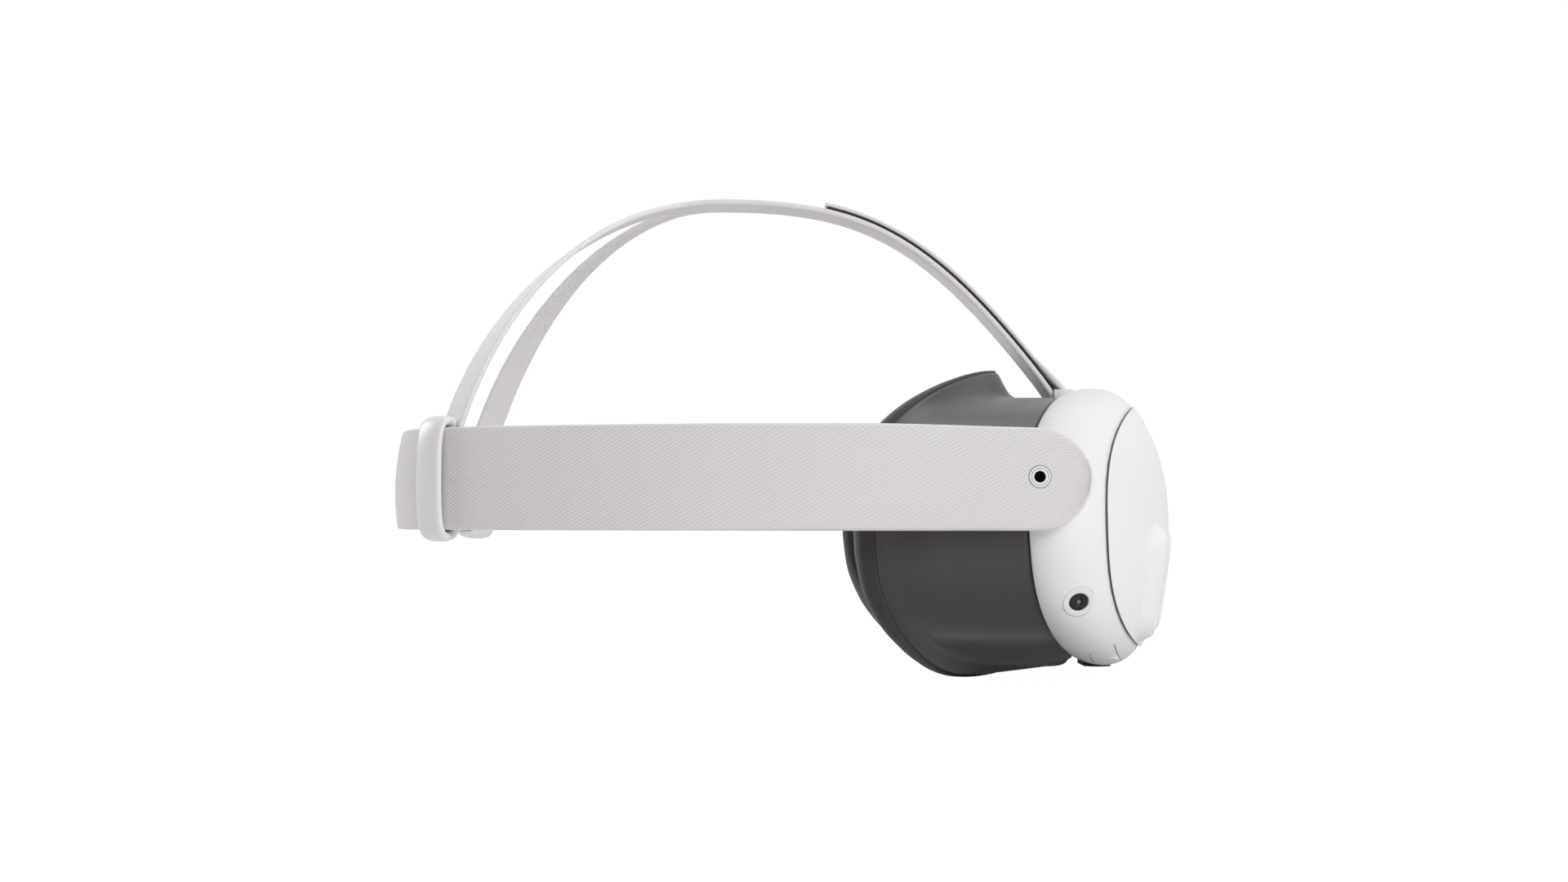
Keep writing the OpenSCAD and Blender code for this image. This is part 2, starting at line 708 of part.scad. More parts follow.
// Each branch turns from lying flat on the crown to standing on its slider
branch_turn = 60;
branch_steps = 24;
function branch_section(k) = let(
    t = fork_t + (1 - fork_t) * k,
    c = bezier(rear_path, t),
    d = unit(slope(rear_path, t)),
    ease = k * k * (3 - 2 * k),
    start = top_w / 4 + 0.1,
    y = -(start + (slider_y - 2 - start) * pow(sin(90 * k), 1.3)),
    w = (top_w / 2 - 0.2) * (1 - ease) + branch_w * ease,
    a = 90 - (90 - branch_turn) * ease,
    across = [cos(a), -sin(a), 0],
    along = unit([d[0], -0.5 * sin(180 * k), d[1]]),
    side = unit(across - along * (across * along)),
    up = cross(side, along),
    h = top_t / 2
) [for (q = [[-1, -1], [1, -1], [1, 1], [-1, 1]])
    [c[0], y, c[1]] + side * q[0] * w / 2 + up * q[1] * h];

module branch() {
    difference() {
        strip_solid([for (i = [0:branch_steps]) branch_section(i / branch_steps)]);
        translate([-overall_length, -harness_y, slider_top - 10 + touch])
            cube([overall_length, harness_y, 10]);
    }
}

// ---- head harness in plan ----
seam_angle = acos((flank_r - harness_y) / (flank_r - rear_r));
flank_x = rear_c + (flank_r - rear_r) * sin(seam_angle);
end_r = strap_w / 2;
strap_front = pivot_x + end_r;
flat_l = strap_front - flank_x;
flank_l = flank_r * seam_angle * PI / 180;

// A point on the right side of the harness: s is the distance back from the strap's front end,
// and inward is how far it lies inside the outer face
function harness_point(s, inward) = s < flat_l
    ? [strap_front - s, -harness_y + inward]
    : s < flat_l + flank_l
        ? let(a = (s - flat_l) / flank_r * 180 / PI)
            [flank_x - (flank_r - inward) * sin(a), flank_r - harness_y - (flank_r - inward) * cos(a)]
        : let(a = seam_angle + (s - flat_l - flank_l) / rear_r * 180 / PI)
            [rear_c - (rear_r - inward) * sin(a), -(rear_r - inward) * cos(a)];
function rear_s(angle) = flat_l + flank_l + (angle - seam_angle) * PI / 180 * rear_r;

module harness_wall(s0, s1, out, inn, z0, z1, steps = 40) {
    ss = [for (i = [0:steps]) s0 + (s1 - s0) * i / steps];
    outer = [for (s = ss) harness_point(s, out)];
    inner = [for (i = [steps:-1:0]) harness_point(ss[i], inn)];
    translate([0, 0, z0]) linear_extrude(z1 - z0) polygon(concat(outer, inner));
}

module end_mask(r) {
    along_y(pivot_x, -harness_y - 5, strap_z) cylinder(r = r, h = 20);
    translate([-overall_length, -harness_y - 5, strap_z - r])
        cube([overall_length + pivot_x, harness_y + 5, 2 * r]);
}

plate_r = end_r - 1.7;
arm_l = 104;
arm_edge = strap_t + slip;

module arm_plate(grow) {
    intersection() {
        harness_wall(end_r - plate_r - grow, arm_l + grow, arm_edge - grow, arm_edge + arm_t + grow,
            strap_z - plate_r - grow, strap_z + plate_r + grow);
        end_mask(plate_r + grow);
    }
}

module arm_right() {
    color("white") difference() {
        arm_plate(0);
        along_y(pivot_x, -harness_y - 2, strap_z) cylinder(r = hub_r + run, h = 20);
        along_y(pivot_x, -boss_out - washer_t - 2, strap_z) cylinder(r = 7.8, h = 2 + washer_t + 0.05 - 0.05);
    }
}

module side_strap_right() {
    color("whitesmoke") difference() {
        intersection() {
            union() {
                harness_wall(0, arm_l + 2, 0, arm_edge + arm_t, strap_z - end_r, strap_z + end_r);
                harness_wall(arm_l + 1.9, rear_s(87), 0, strap_t, strap_z - end_r, strap_z + end_r, 60);
            }
            end_mask(end_r);
        }
        arm_plate(slip);
        along_y(pivot_x, -harness_y - 2, strap_z) cylinder(r = neck_r + touch, h = 10);
        along_y(pivot_x, -arm_out - 0.9, strap_z) cylinder(r = 7.8, h = 2);
    }
}

module rear_band() {
    from = rear_s(seam_angle + 1);
    inn = strap_t + slip;
    color("whitesmoke") both_sides()
        harness_wall(from, rear_s(90), inn, inn + band_t, strap_z - end_r, strap_z + end_r, 36);
}

pod_l = 38;
pod_x = pivot_x - hub_seat_r - 2.5 - pod_l;

module speaker_pod() {
    h = 19;
    difference() {
        translate([pod_x, -arm_in + 0.05, strap_z - h / 2]) cube([pod_l, 4.4, h]);
        translate([pod_x + 1.5, -arm_in + 1.2, strap_z - h / 2 + 1.5]) cube([pod_l - 3, 2.1, h - 3]);
        for (i = [0:3]) translate([pod_x + 5 + i * 4.4, -arm_in + 1.4, strap_z - h]) cube([2.6, 1.6, h]);
    }
}

module speaker_driver() {
    along_y(pod_x + pod_l - 9.5, -arm_in + 1.25, strap_z) cylinder(r = 7.6, h = 1.9);
}

// ---- rear sliders ----
slot_t = strap_t + slip + band_t + 2 * 0.5;
slider_t = slot_t + 7;

module slider() {
    translate([rear_c, 0, strap_z]) rotate([0, 0, slider_at]) translate([-slider_mid_r - 0.05, 0, 0]) {
        difference() {
            rotate([90, 0, 0]) translate([0, 0, -slider_w / 2]) linear_extrude(slider_w)
                stadium_box(slider_t, slider_h, 3.6);
            rotate([90, 0, 0]) translate([0, 0, -slider_w]) linear_extrude(2 * slider_w)
                stadium_box(slot_t, strap_w + 1, 0.8);
        }
    }
}

module stadium_box(w, h, r) {
    square([w - 2 * r, h], center = true);
    square([w, h - 2 * r], center = true);
    for (x = [-1, 1], y = [-1, 1]) translate([x * (w / 2 - r), y * (h / 2 - r)]) circle(r);
}

// ---- face interface ----
lip_z = -min([for (t = angles()) lip_shape(0, t)[1]]);
lip_x = x_front - forehead_set;
frame_wall = 2;
tube_in = rear_inset + 1.2;

function low(t) = pow(max(0, -sin(t)), 2);
// The cushion's outline, arched over the nose
function lip_shape(dr, t) = let(
    p = oval(cushion_a + dr, cushion_b + dr, cushion_n, t),
    nose = exp(-pow(p[0] / 14, 2)) * low(t)
) [p[0], p[1] + 7 * nose];
function lip_yz(dr, t) = lip_shape(dr, t) + [0, lip_z];
// The contact face: swept back at the temples, tucked in at the cheeks and cut forward for the nose
function seat_x(t) = let(
    p = oval(cushion_a, cushion_b, cushion_n, t),
    s = max(0, -sin(t)),
    u = max(0, sin(t)),
    nose = exp(-pow(p[0] / 20, 2)) * s * s
) lip_x - face_curve * pow(p[0] / cushion_a, 2) - 19 * u * (1 - u) + 6 * s * (1 - s) - 13 * s * s + 26 * nose;
function pad_depth(t) = 6 - 1.5 * pow(sin(t), 2);
function lip_point(dx, dr, t) = let(p = lip_yz(dr, t)) [seat_x(t) + dx, p[0], p[1]];

module face_cushion() {
    w = cushion_w;
    color("dimgray") ring_solid([for (t = angles()) let(c = pad_depth(t)) [
        lip_point(c, -0.8, t), lip_point(c, 1 - w, t),
        lip_point(0.55 * c, -w, t), lip_point(0.25 * c, 1.5 - w, t),
        lip_point(0, -0.6 * w, t), lip_point(0, -0.28 * w, t),
        lip_point(0.18 * c, -0.8, t), lip_point(0.55 * c, 0, t)]]);
}

function tube_yz(inset, t) = let(
    p = oval(visor_w / 2 - tube_in - inset, visor_h / 2 - rear_inset - inset, oval_n, t))
    [p[0], visor_z + p[1]];
function mixed(a, b, k) = a * (1 - k) + b * k;
function frame_point(f, k, inset, t) = let(
    seam = lip_yz(-0.8 - inset, t),
    tube = tube_yz(inset, t),
    x0 = seat_x(t) + pad_depth(t) + 0.25,
    p = mixed(seam, tube, k),
    x1 = rear_x(tube[0], tube[1] - visor_z) - 0.4
) [mixed(x0, x1, f), p[0], p[1]];

module face_frame() {
    flare = [[0, 0], [0.1, 0.4], [0.22, 0.8], [0.36, 1], [1, 1]];
    skirt = [[0, 0], [0.3, 0.03], [0.6, 0.08], [0.92, 0.25], [1, 1]];
    n = len(flare);
    function cut(i, t) = mixed(flare[i], skirt[i], pow(max(0, -sin(t)), 4));
    color("dimgray") difference() {
        ring_solid([for (t = angles()) concat(
            [for (i = [0:n - 1]) let(c = cut(i, t)) frame_point(c[0], c[1], 0, t)],
            [for (i = [n - 1:-1:0]) let(c = cut(i, t)) frame_point(c[0], c[1], frame_wall, t)])]);
        translate([bracket_x - 6, -notch_w / 2, bracket_z - 4.2]) cube([12, notch_w, 14]);
    }
}

sleeve_in = tube_in + frame_wall + 0.1;
sleeve_l = face_travel + 2;
module face_sleeve() {
    function sleeve_point(dx, inset, t) = let(p = oval(visor_w / 2 - inset, visor_h / 2 - inset, oval_n, t))
        [rear_x(p[0], p[1]) - 0.4 + dx, p[0], visor_z + p[1]];
    color("black") difference() {
        ring_solid([for (t = angles()) [
            sleeve_point(-4, sleeve_in, t), sleeve_point(sleeve_l, sleeve_in, t),
            sleeve_point(sleeve_l, sleeve_in + 1.6, t), sleeve_point(-4, sleeve_in + 1.6, t)]]);
        translate([rear_x(0, 0) + 1, -66, -10]) cube([40, 132, visor_z - visor_h / 2 + 25]);
        both_sides() translate([camera_x - 6.5, -side_y, camera_z - 6.5]) cube([20, 30, 13]);
    }
}

visor_shell();
front_cover();
cover_gasket();
sensor_frame(-1);  // sensor_frame_right
sensor_frame(0);  // sensor_frame_center
sensor_frame(1);  // sensor_frame_left
sensor_window(-1);  // sensor_window_right
sensor_window(0);  // sensor_window_center
sensor_window(1);  // sensor_window_left
front_cameras();
side_camera();  // side_camera_right
mirror_left() side_camera();  // side_camera_left
color("white") both_sides() side_camera_bezel();  // side_camera_bezels
mid_frame();
main_board();
heat_sink();
battery();
fan_housing();
fan_impeller();
guide_rods();
lens_curtain();
screw_bearings();
ipd_wheel();
lead_screw();
lens_barrel();  // lens_barrel_right
lens();  // lens_right
display();  // display_right
mirror_left() lens_barrel();  // lens_barrel_left
mirror_left() lens();  // lens_left
mirror_left() display();  // display_left
hub_right();
hub_left();
color("silver") both_sides() hub_washer();  // hub_washers
headphone_socket();
usb_socket();
power_button();
volume_rocker();
volume_pin();
dock_pad();
dock_contacts();
strap_bracket();
top_strap_loop();
face_frame();
face_sleeve();
face_cushion();
arm_right();
mirror_left() arm_right();  // arm_left
color("whitesmoke") both_sides() speaker_pod();  // speaker_pods
color("black") both_sides() speaker_driver();  // speaker_drivers
side_strap_right();
mirror_left() side_strap_right();  // side_strap_left
rear_band();
top_strap();
top_strap_tab();
hook_tape();
color("whitesmoke") branch();  // branch_right
color("whitesmoke") mirror_left() branch();  // branch_left
color("white") slider();  // slider_right
color("white") mirror_left() slider();  // slider_left
case_screws();
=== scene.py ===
import json
import math
import bpy
from mathutils import Matrix, Vector

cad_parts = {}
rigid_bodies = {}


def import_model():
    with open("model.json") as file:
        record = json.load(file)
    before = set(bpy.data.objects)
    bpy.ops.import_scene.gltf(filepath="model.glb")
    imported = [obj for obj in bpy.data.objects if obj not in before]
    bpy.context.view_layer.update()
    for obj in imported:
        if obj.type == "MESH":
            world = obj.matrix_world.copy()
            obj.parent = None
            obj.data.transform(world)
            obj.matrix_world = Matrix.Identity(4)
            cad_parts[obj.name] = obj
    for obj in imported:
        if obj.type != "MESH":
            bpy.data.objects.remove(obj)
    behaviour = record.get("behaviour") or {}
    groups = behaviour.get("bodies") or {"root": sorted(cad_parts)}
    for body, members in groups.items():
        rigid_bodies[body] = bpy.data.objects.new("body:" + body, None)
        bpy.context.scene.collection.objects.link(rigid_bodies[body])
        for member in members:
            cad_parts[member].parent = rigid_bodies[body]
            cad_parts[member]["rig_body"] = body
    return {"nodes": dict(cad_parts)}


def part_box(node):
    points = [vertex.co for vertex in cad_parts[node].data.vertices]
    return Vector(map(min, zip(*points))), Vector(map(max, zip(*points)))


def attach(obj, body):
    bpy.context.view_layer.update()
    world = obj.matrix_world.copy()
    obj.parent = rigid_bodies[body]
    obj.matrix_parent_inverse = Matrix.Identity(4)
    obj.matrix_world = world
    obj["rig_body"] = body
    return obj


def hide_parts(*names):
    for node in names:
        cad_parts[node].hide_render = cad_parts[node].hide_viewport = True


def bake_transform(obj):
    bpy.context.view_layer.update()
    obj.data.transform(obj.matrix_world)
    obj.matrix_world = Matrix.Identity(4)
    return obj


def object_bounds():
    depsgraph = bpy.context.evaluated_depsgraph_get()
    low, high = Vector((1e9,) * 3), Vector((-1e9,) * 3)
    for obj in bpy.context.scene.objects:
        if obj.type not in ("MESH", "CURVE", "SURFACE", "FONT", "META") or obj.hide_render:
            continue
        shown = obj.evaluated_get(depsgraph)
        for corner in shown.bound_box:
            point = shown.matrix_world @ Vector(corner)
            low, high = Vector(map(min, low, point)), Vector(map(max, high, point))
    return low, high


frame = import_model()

cad_low, cad_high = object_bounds()
mm = 0.001


# ---- camera, floor and light ----
# The headset stands on a plain pale floor that fades into a white surround. One broad soft
# light stands high in front of its right side, with weaker ones low down, above and behind,
# and the surround is dim towards the right rear.
def nothing_selected():
    if bpy.context.object and bpy.context.object.mode != "OBJECT":
        bpy.ops.object.mode_set(mode="OBJECT")
    bpy.ops.object.select_all(action="DESELECT")


def only(piece):
    nothing_selected()
    piece.select_set(True)
    bpy.context.view_layer.objects.active = piece


nothing_selected()
eye = Vector((0, -0.853, 0.0536))
bpy.ops.object.camera_add(location=eye, rotation=(math.radians(91.62), 0, 0))
camera = bpy.context.object
camera.data.lens = 58.2
camera.data.sensor_width = 36
camera.data.clip_start = 0.02
camera.data.clip_end = 40
bpy.context.scene.camera = camera
bpy.context.scene.view_settings.view_transform = "Standard"

surround = bpy.data.worlds.new("surround")
bpy.context.scene.world = surround
surround.use_nodes = True
sky = surround.node_tree
sky.nodes.clear()
sky_out = sky.nodes.new("ShaderNodeOutputWorld")
sky_mix = sky.nodes.new("ShaderNodeMixShader")
sky_seen = sky.nodes.new("ShaderNodeBackground")
sky_light = sky.nodes.new("ShaderNodeBackground")
sky_ray = sky.nodes.new("ShaderNodeLightPath")
sky_seen.inputs["Color"].default_value = (1, 1, 1, 1)
sky_seen.inputs["Strength"].default_value = 1.02
sky_light.inputs["Strength"].default_value = 0.71
sky_way = sky.nodes.new("ShaderNodeTexCoord")
sky_dot = sky.nodes.new("ShaderNodeVectorMath")
sky_fade = sky.nodes.new("ShaderNodeMapRange")
sky_tone = sky.nodes.new("ShaderNodeMix")
sky_dot.operation = "DOT_PRODUCT"
dark_side = (-0.78, -0.62, 0)
sky_dot.inputs[1].default_value = dark_side
sky_tone.data_type = "RGBA"
sky_fade.inputs["From Min"].default_value = 0.1
sky_fade.inputs["From Max"].default_value = 0.85
sky_tone.inputs["A"].default_value = (1, 0.995, 1, 1)
sky_tone.inputs["B"].default_value = (0.02, 0.01, 0.01, 1)
sky.links.new(sky_way.outputs["Generated"], sky_dot.inputs[0])
sky.links.new(sky_dot.outputs["Value"], sky_fade.inputs["Value"])
sky.links.new(sky_fade.outputs["Result"], sky_tone.inputs["Factor"])
sky.links.new(sky_tone.outputs["Result"], sky_light.inputs["Color"])
sky.links.new(sky_ray.outputs["Is Camera Ray"], sky_mix.inputs["Fac"])
sky.links.new(sky_light.outputs["Background"], sky_mix.inputs[1])
sky.links.new(sky_seen.outputs["Background"], sky_mix.inputs[2])
sky.links.new(sky_mix.outputs["Shader"], sky_out.inputs["Surface"])

bpy.ops.mesh.primitive_circle_add(vertices=96, radius=7, fill_type="NGON", location=(0, 0, -0.3 * mm))
floor = bpy.context.object
floor.name = "floor"
floor_paint = bpy.data.materials.new("pale_floor")
floor_paint.use_nodes = True
paint = floor_paint.node_tree
paint.nodes.clear()
paint_out = paint.nodes.new("ShaderNodeOutputMaterial")
paint_mix = paint.nodes.new("ShaderNodeMixShader")
paint_add = paint.nodes.new("ShaderNodeAddShader")
paint_matt = paint.nodes.new("ShaderNodeBsdfDiffuse")
paint_glow = paint.nodes.new("ShaderNodeEmission")
paint_thin = paint.nodes.new("ShaderNodeBsdfDiffuse")
paint_ray = paint.nodes.new("ShaderNodeLightPath")
paint_matt.inputs["Color"].default_value = (0.82, 0.8, 0.81, 1)
paint_thin.inputs["Color"].default_value = (0.09, 0.09, 0.09, 1)
paint_glow.inputs["Color"].default_value = (1, 1, 1, 1)
paint_glow.inputs["Strength"].default_value = 0.985
paint.links.new(paint_thin.outputs["BSDF"], paint_add.inputs[0])
paint.links.new(paint_glow.outputs["Emission"], paint_add.inputs[1])
paint.links.new(paint_ray.outputs["Is Camera Ray"], paint_mix.inputs["Fac"])
paint.links.new(paint_matt.outputs["BSDF"], paint_mix.inputs[1])
paint.links.new(paint_add.outputs["Shader"], paint_mix.inputs[2])
paint.links.new(paint_mix.outputs["Shader"], paint_out.inputs["Surface"])
floor.data.materials.append(floor_paint)


def soft_light(name, place, aim, size, power):
    nothing_selected()
    turn = (Vector(aim) - Vector(place)).to_track_quat("-Z", "Y").to_euler()
    bpy.ops.object.light_add(type="AREA", location=place, rotation=turn)
    lamp = bpy.context.object
    lamp.name = name
    lamp.data.shape = "DISK"
    lamp.data.size = size
    lamp.data.energy = power


soft_light("key_light", (0.95, -1.75, 1.0), (0, 0, 0.06), 1.0, 14)
soft_light("low_light", (0.6, -1.7, 0.14), (0.06, 0, 0.05), 0.6, 2.5)
soft_light("top_light", (0.15, 0.25, 1.7), (0, 0, 0.06), 1.1, 6)
soft_light("back_light", (-1.55, 0.75, 0.7), (0, 0, 0.06), 0.9, 12)


# ---- visor housing ----
# The deep white rim of the visor, injection moulded in matt plastic with rounded edges.
# It is open at the rear for the face shell, and the front cover closes it.
visor_w, visor_h = 168 * mm, 91 * mm
visor_z = 49.1 * mm
shell_depth = 22.5 * mm
wall = 2.2 * mm
visor_wrap = 21 * mm
visor_lean, rear_lean = 0.024, 0.053
cover_dome, cover_gap = 11.5 * mm, 0.8 * mm
rear_inset, joint_inset, crown_at = 3 * mm, 5.8 * mm, 0.45
joint_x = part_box("front_cover")[1].x - cover_dome


def oval(a, b, n, t):
    c, s = math.cos(t), math.sin(t)
    r = 1 / ((abs(c) / a) ** n + (abs(s) / b) ** n) ** (1 / n)
    return r * c, r * s


def visor_oval(inset, t):
    return oval(visor_w / 2 - inset, visor_h / 2 - inset, 3, t)


def sweep_x(y, z):
    return -visor_wrap * (2 * y / visor_w) ** 2 - visor_lean * z


def rear_x(y, z):
    return joint_x - shell_depth + sweep_x(y, z) - (rear_lean - visor_lean) * z


def shell_inset(u):
    if u < crown_at:
        return rear_inset * ((crown_at - u) / crown_at) ** 2
    return joint_inset * ((u - crown_at) / (1 - crown_at)) ** 2.4


def shell_point(u, extra, t):
    y, z = visor_oval(shell_inset(u) + extra, t)
    x = joint_x - shell_depth * (1 - u) + sweep_x(y, z) - (1 - u) * (rear_lean - visor_lean) * z
    return x, y, visor_z + z


def shape_grid(name, nu, nv, place, smooth=40):
    """A flat grid is added, and each of its points is moved to where the piece's own skin lies."""
    nothing_selected()
    bpy.ops.mesh.primitive_grid_add(x_subdivisions=nu, y_subdivisions=nv, size=2, location=(0, 0, 0))
    piece = bpy.context.object
    piece.name = name
    piece.data.name = name
    mesh = piece.data
    cells = [(round((v.co.x + 1) / 2 * nu), round((v.co.y + 1) / 2 * nv)) for v in mesh.vertices]
    at = {}
    for v, cell in zip(mesh.vertices, cells):
        v.co = place(*cell)
        at[cell] = v.co.copy()
    along, across = [0.0], [0.0]
    for i in range(nu):
        along.append(along[-1] + (at[(i + 1, nv // 4)] - at[(i, nv // 4)]).length)
    for j in range(nv):
        across.append(across[-1] + (at[(nu // 2, j + 1)] - at[(nu // 2, j)]).length)
    marks = mesh.uv_layers.active.data
    for loop in mesh.loops:
        i, j = cells[loop.vertex_index]
        marks[loop.index].uv = (along[i], across[j])
    close_mesh(piece)
    smooth_edges(piece, smooth)
    return piece


def close_mesh(piece, near=2e-6):
    only(piece)
    bpy.ops.object.mode_set(mode="EDIT")
    bpy.ops.mesh.select_all(action="SELECT")
    bpy.ops.mesh.remove_doubles(threshold=near)
    bpy.ops.mesh.dissolve_degenerate(threshold=1e-7)
    bpy.ops.mesh.select_all(action="SELECT")
    bpy.ops.mesh.normals_make_consistent(inside=False)
    bpy.ops.object.mode_set(mode="OBJECT")


def smooth_edges(piece, angle):
    only(piece)
    bpy.ops.object.shade_smooth_by_angle(angle=math.radians(angle))


def at_side_camera(side=-1):
    low, inset = 22.8 * mm, shell_inset(0.65)
    y = (visor_w / 2 - inset) * (1 - (low / (visor_h / 2 - inset)) ** 3) ** (1 / 3) - 0.3 * mm
    place = Matrix.Translation((pivot_x + 13 * mm, side * y, visor_z - low))
    turn = Matrix.Rotation(math.radians(80 * side), 4, "Z")
    return place @ turn @ Matrix.Rotation(math.radians(27), 4, "Y")


def round_tool(r, length, place, axis, stretch=0.0):
    """A closed cylinder along axis, pulled out to a stadium where stretch is given."""
    nothing_selected()
    bpy.ops.mesh.primitive_cylinder_add(vertices=96, radius=r, depth=length, location=(0, 0, 0))
    tool = bpy.context.object
    for v in tool.data.vertices:
        if abs(v.co.y) > 1e-7:
            v.co.y += math.copysign(stretch, v.co.y)
    turn = {"X": Matrix.Rotation(math.radians(90), 4, "Y"),
            "Y": Matrix.Rotation(math.radians(90), 4, "X"), "Z": Matrix.Identity(4)}[axis]
    place = place if isinstance(place, Matrix) else Matrix.Translation(place)
    tool.data.transform(place @ turn)
    return tool


def block_tool(low, high, place=None, corner=0.0):
    """A closed box from low to high, with its upright corners rounded where corner is given."""
    nothing_selected()
    low, high = Vector(low), Vector(high)
    bpy.ops.mesh.primitive_cube_add(size=1, location=(0, 0, 0))
    tool = bpy.context.object
    tool.data.transform(Matrix.Translation((low + high) / 2) @ Matrix.Diagonal((*(high - low), 1)))
    if corner:
        only(tool)
        bpy.ops.object.mode_set(mode="EDIT")
        bpy.ops.mesh.select_all(action="DESELECT")
        bpy.ops.object.mode_set(mode="OBJECT")
        for e in tool.data.edges:
            a, b = (tool.data.vertices[k].co for k in e.vertices)
            e.select = abs(a.z - b.z) > 1e-7
        bpy.ops.object.mode_set(mode="EDIT")
        bpy.ops.mesh.select_mode(type="EDGE")
        bpy.ops.mesh.bevel(offset=corner, segments=8)
        bpy.ops.object.mode_set(mode="OBJECT")
    if place is not None:
        tool.data.transform(place)
    return tool


def combine(piece, tool, how="DIFFERENCE"):
    only(piece)
    step = piece.modifiers.new("cut", "BOOLEAN")
    step.operation = how
    step.solver = "EXACT"
    step.object = tool
    bpy.ops.object.modifier_apply(modifier=step.name)
    bpy.data.objects.remove(tool)


def shader(name, colour, rough, metallic=0.0, coat=0.0, sheen=0.0, specular=0.5, ior=1.45, clear=0.0):
    finish = bpy.data.materials.new(name)
    finish.use_nodes = True
    body = finish.node_tree.nodes["Principled BSDF"]
    body.inputs["Base Color"].default_value = (*colour, 1)
    body.inputs["Roughness"].default_value = rough
    body.inputs["Metallic"].default_value = metallic
    body.inputs["Coat Weight"].default_value = coat
    body.inputs["Coat Roughness"].default_value = 0.25
    body.inputs["Sheen Weight"].default_value = sheen
    body.inputs["Sheen Roughness"].default_value = 0.5
    body.inputs["Specular IOR Level"].default_value = specular
    body.inputs["IOR"].default_value = ior
    body.inputs["Transmission Weight"].default_value = clear
    return finish, finish.node_tree, body


def moulded(name, colour, rough, grain=0.35 * mm, depth=0.012 * mm, mottle=0.03, **more):
    """Moulded plastic or cast metal: a fine even grain, slight clouding and uneven gloss."""
    finish, tree, body = shader(name, colour, rough, **more)
    spot = tree.nodes.new("ShaderNodeTexCoord")
    fine = tree.nodes.new("ShaderNodeTexNoise")
    fine.inputs["Scale"].default_value = 1 / grain
    fine.inputs["Detail"].default_value = 3
    cloud = tree.nodes.new("ShaderNodeTexNoise")
    cloud.inputs["Scale"].default_value = 22
    cloud.inputs["Detail"].default_value = 4
    tint = tree.nodes.new("ShaderNodeMix")
    tint.data_type = "RGBA"
    tint.inputs["A"].default_value = (*[c * (1 - mottle) for c in colour], 1)
    tint.inputs["B"].default_value = (*[min(1, c * (1 + mottle)) for c in colour], 1)
    gloss = tree.nodes.new("ShaderNodeMapRange")
    gloss.inputs["To Min"].default_value = max(0.03, rough - 0.05)
    gloss.inputs["To Max"].default_value = min(1, rough + 0.05)
    bump = tree.nodes.new("ShaderNodeBump")
    bump.inputs["Strength"].default_value = 0.6
    bump.inputs["Distance"].default_value = depth
    tree.links.new(spot.outputs["Object"], fine.inputs["Vector"])
    tree.links.new(spot.outputs["Object"], cloud.inputs["Vector"])
    tree.links.new(cloud.outputs["Fac"], tint.inputs["Factor"])
    tree.links.new(tint.outputs["Result"], body.inputs["Base Color"])
    tree.links.new(cloud.outputs["Fac"], gloss.inputs["Value"])
    tree.links.new(gloss.outputs["Result"], body.inputs["Roughness"])
    tree.links.new(fine.outputs["Fac"], bump.inputs["Height"])
    tree.links.new(bump.outputs["Normal"], body.inputs["Normal"])
    return finish


def finished(piece, finish, body, slot, *stood_for):
    piece.data.materials.clear()
    piece.data.materials.append(finish)
    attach(piece, body)
    if stood_for:
        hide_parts(*stood_for)


white_plastic = moulded("white_moulding", (0.87, 0.865, 0.87), 0.5)
strap_z = 64.4 * mm
pivot_x = (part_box("hub_right")[0].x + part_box("hub_right")[1].x) / 2
housing_rings = [(0, 1.0), (0.004, 0.6), (0.012, 0.3), (0.028, 0.08), (0.05, 0)]
housing_rings += [(0.05 + 0.89 * k / 15, 0) for k in range(1, 16)]
housing_rings += [(0.962, 0.03), (0.982, 0.16), (0.994, 0.42), (1, 0.8)]
housing_rings += [(u, wall / mm) for u in (1, 0.8, 0.6, 0.45, 0.3, 0.15, 0.03)] + [(0, 1.7)]
housing_steps = 288


def housing_skin(i, j):
    u, extra = housing_rings[i % len(housing_rings)]
    return shell_point(u, extra * mm, 2 * math.pi * (j % housing_steps) / housing_steps)


housing = shape_grid("visor_housing", len(housing_rings), housing_steps, housing_skin, 32)
rocker_spot = Matrix.Translation((joint_x - 14 * mm, -46 * mm, visor_z - visor_h / 2 + 6 * mm))
rocker_turn, rocker_tilt = math.radians(-13), math.radians(-11)
rocker_spot = rocker_spot @ Matrix.Rotation(rocker_turn, 4, "Z") @ Matrix.Rotation(rocker_tilt, 4, "X")
nothing_selected()
rocker_cap = bpy.data.objects.new("volume_rocker_cap", housing.data.copy())
bpy.context.scene.collection.objects.link(rocker_cap)
wheel_low, wheel_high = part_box("ipd_wheel")
wheel_mid = (wheel_low + wheel_high) / 2
for side in (-1, 1):
    combine(housing, round_tool(9.1 * mm, 12 * mm, (pivot_x, side * 83 * mm, strap_z), "Y"))
    camera_hole = at_side_camera(side) @ Matrix.Translation((-2 * mm, 0, 0))
    combine(housing, round_tool(5.1 * mm, 12 * mm, camera_hole, "X"))
combine(housing, round_tool(8.5 * mm, 10 * mm, wheel_mid, "Y"))
rocker_hole = block_tool((-4 * mm, -14.3 * mm, -8 * mm), (4 * mm, 14.3 * mm, 8 * mm), rocker_spot, 1.9 * mm)
combine(housing, rocker_hole)
power_low, power_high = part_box("power_button")
power_mid = (power_low + power_high) / 2
combine(housing, round_tool(3.7 * mm, 14 * mm, (power_mid.x, power_high.y - 3 * mm, power_mid.z), "Y"))
dock_low, dock_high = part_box("dock_pad")
dock_mid = (dock_low + dock_high) / 2
combine(housing, round_tool(4.6 * mm, 8 * mm, (dock_mid.x, 0, dock_low.z + 2 * mm), "Z", 8.5 * mm))
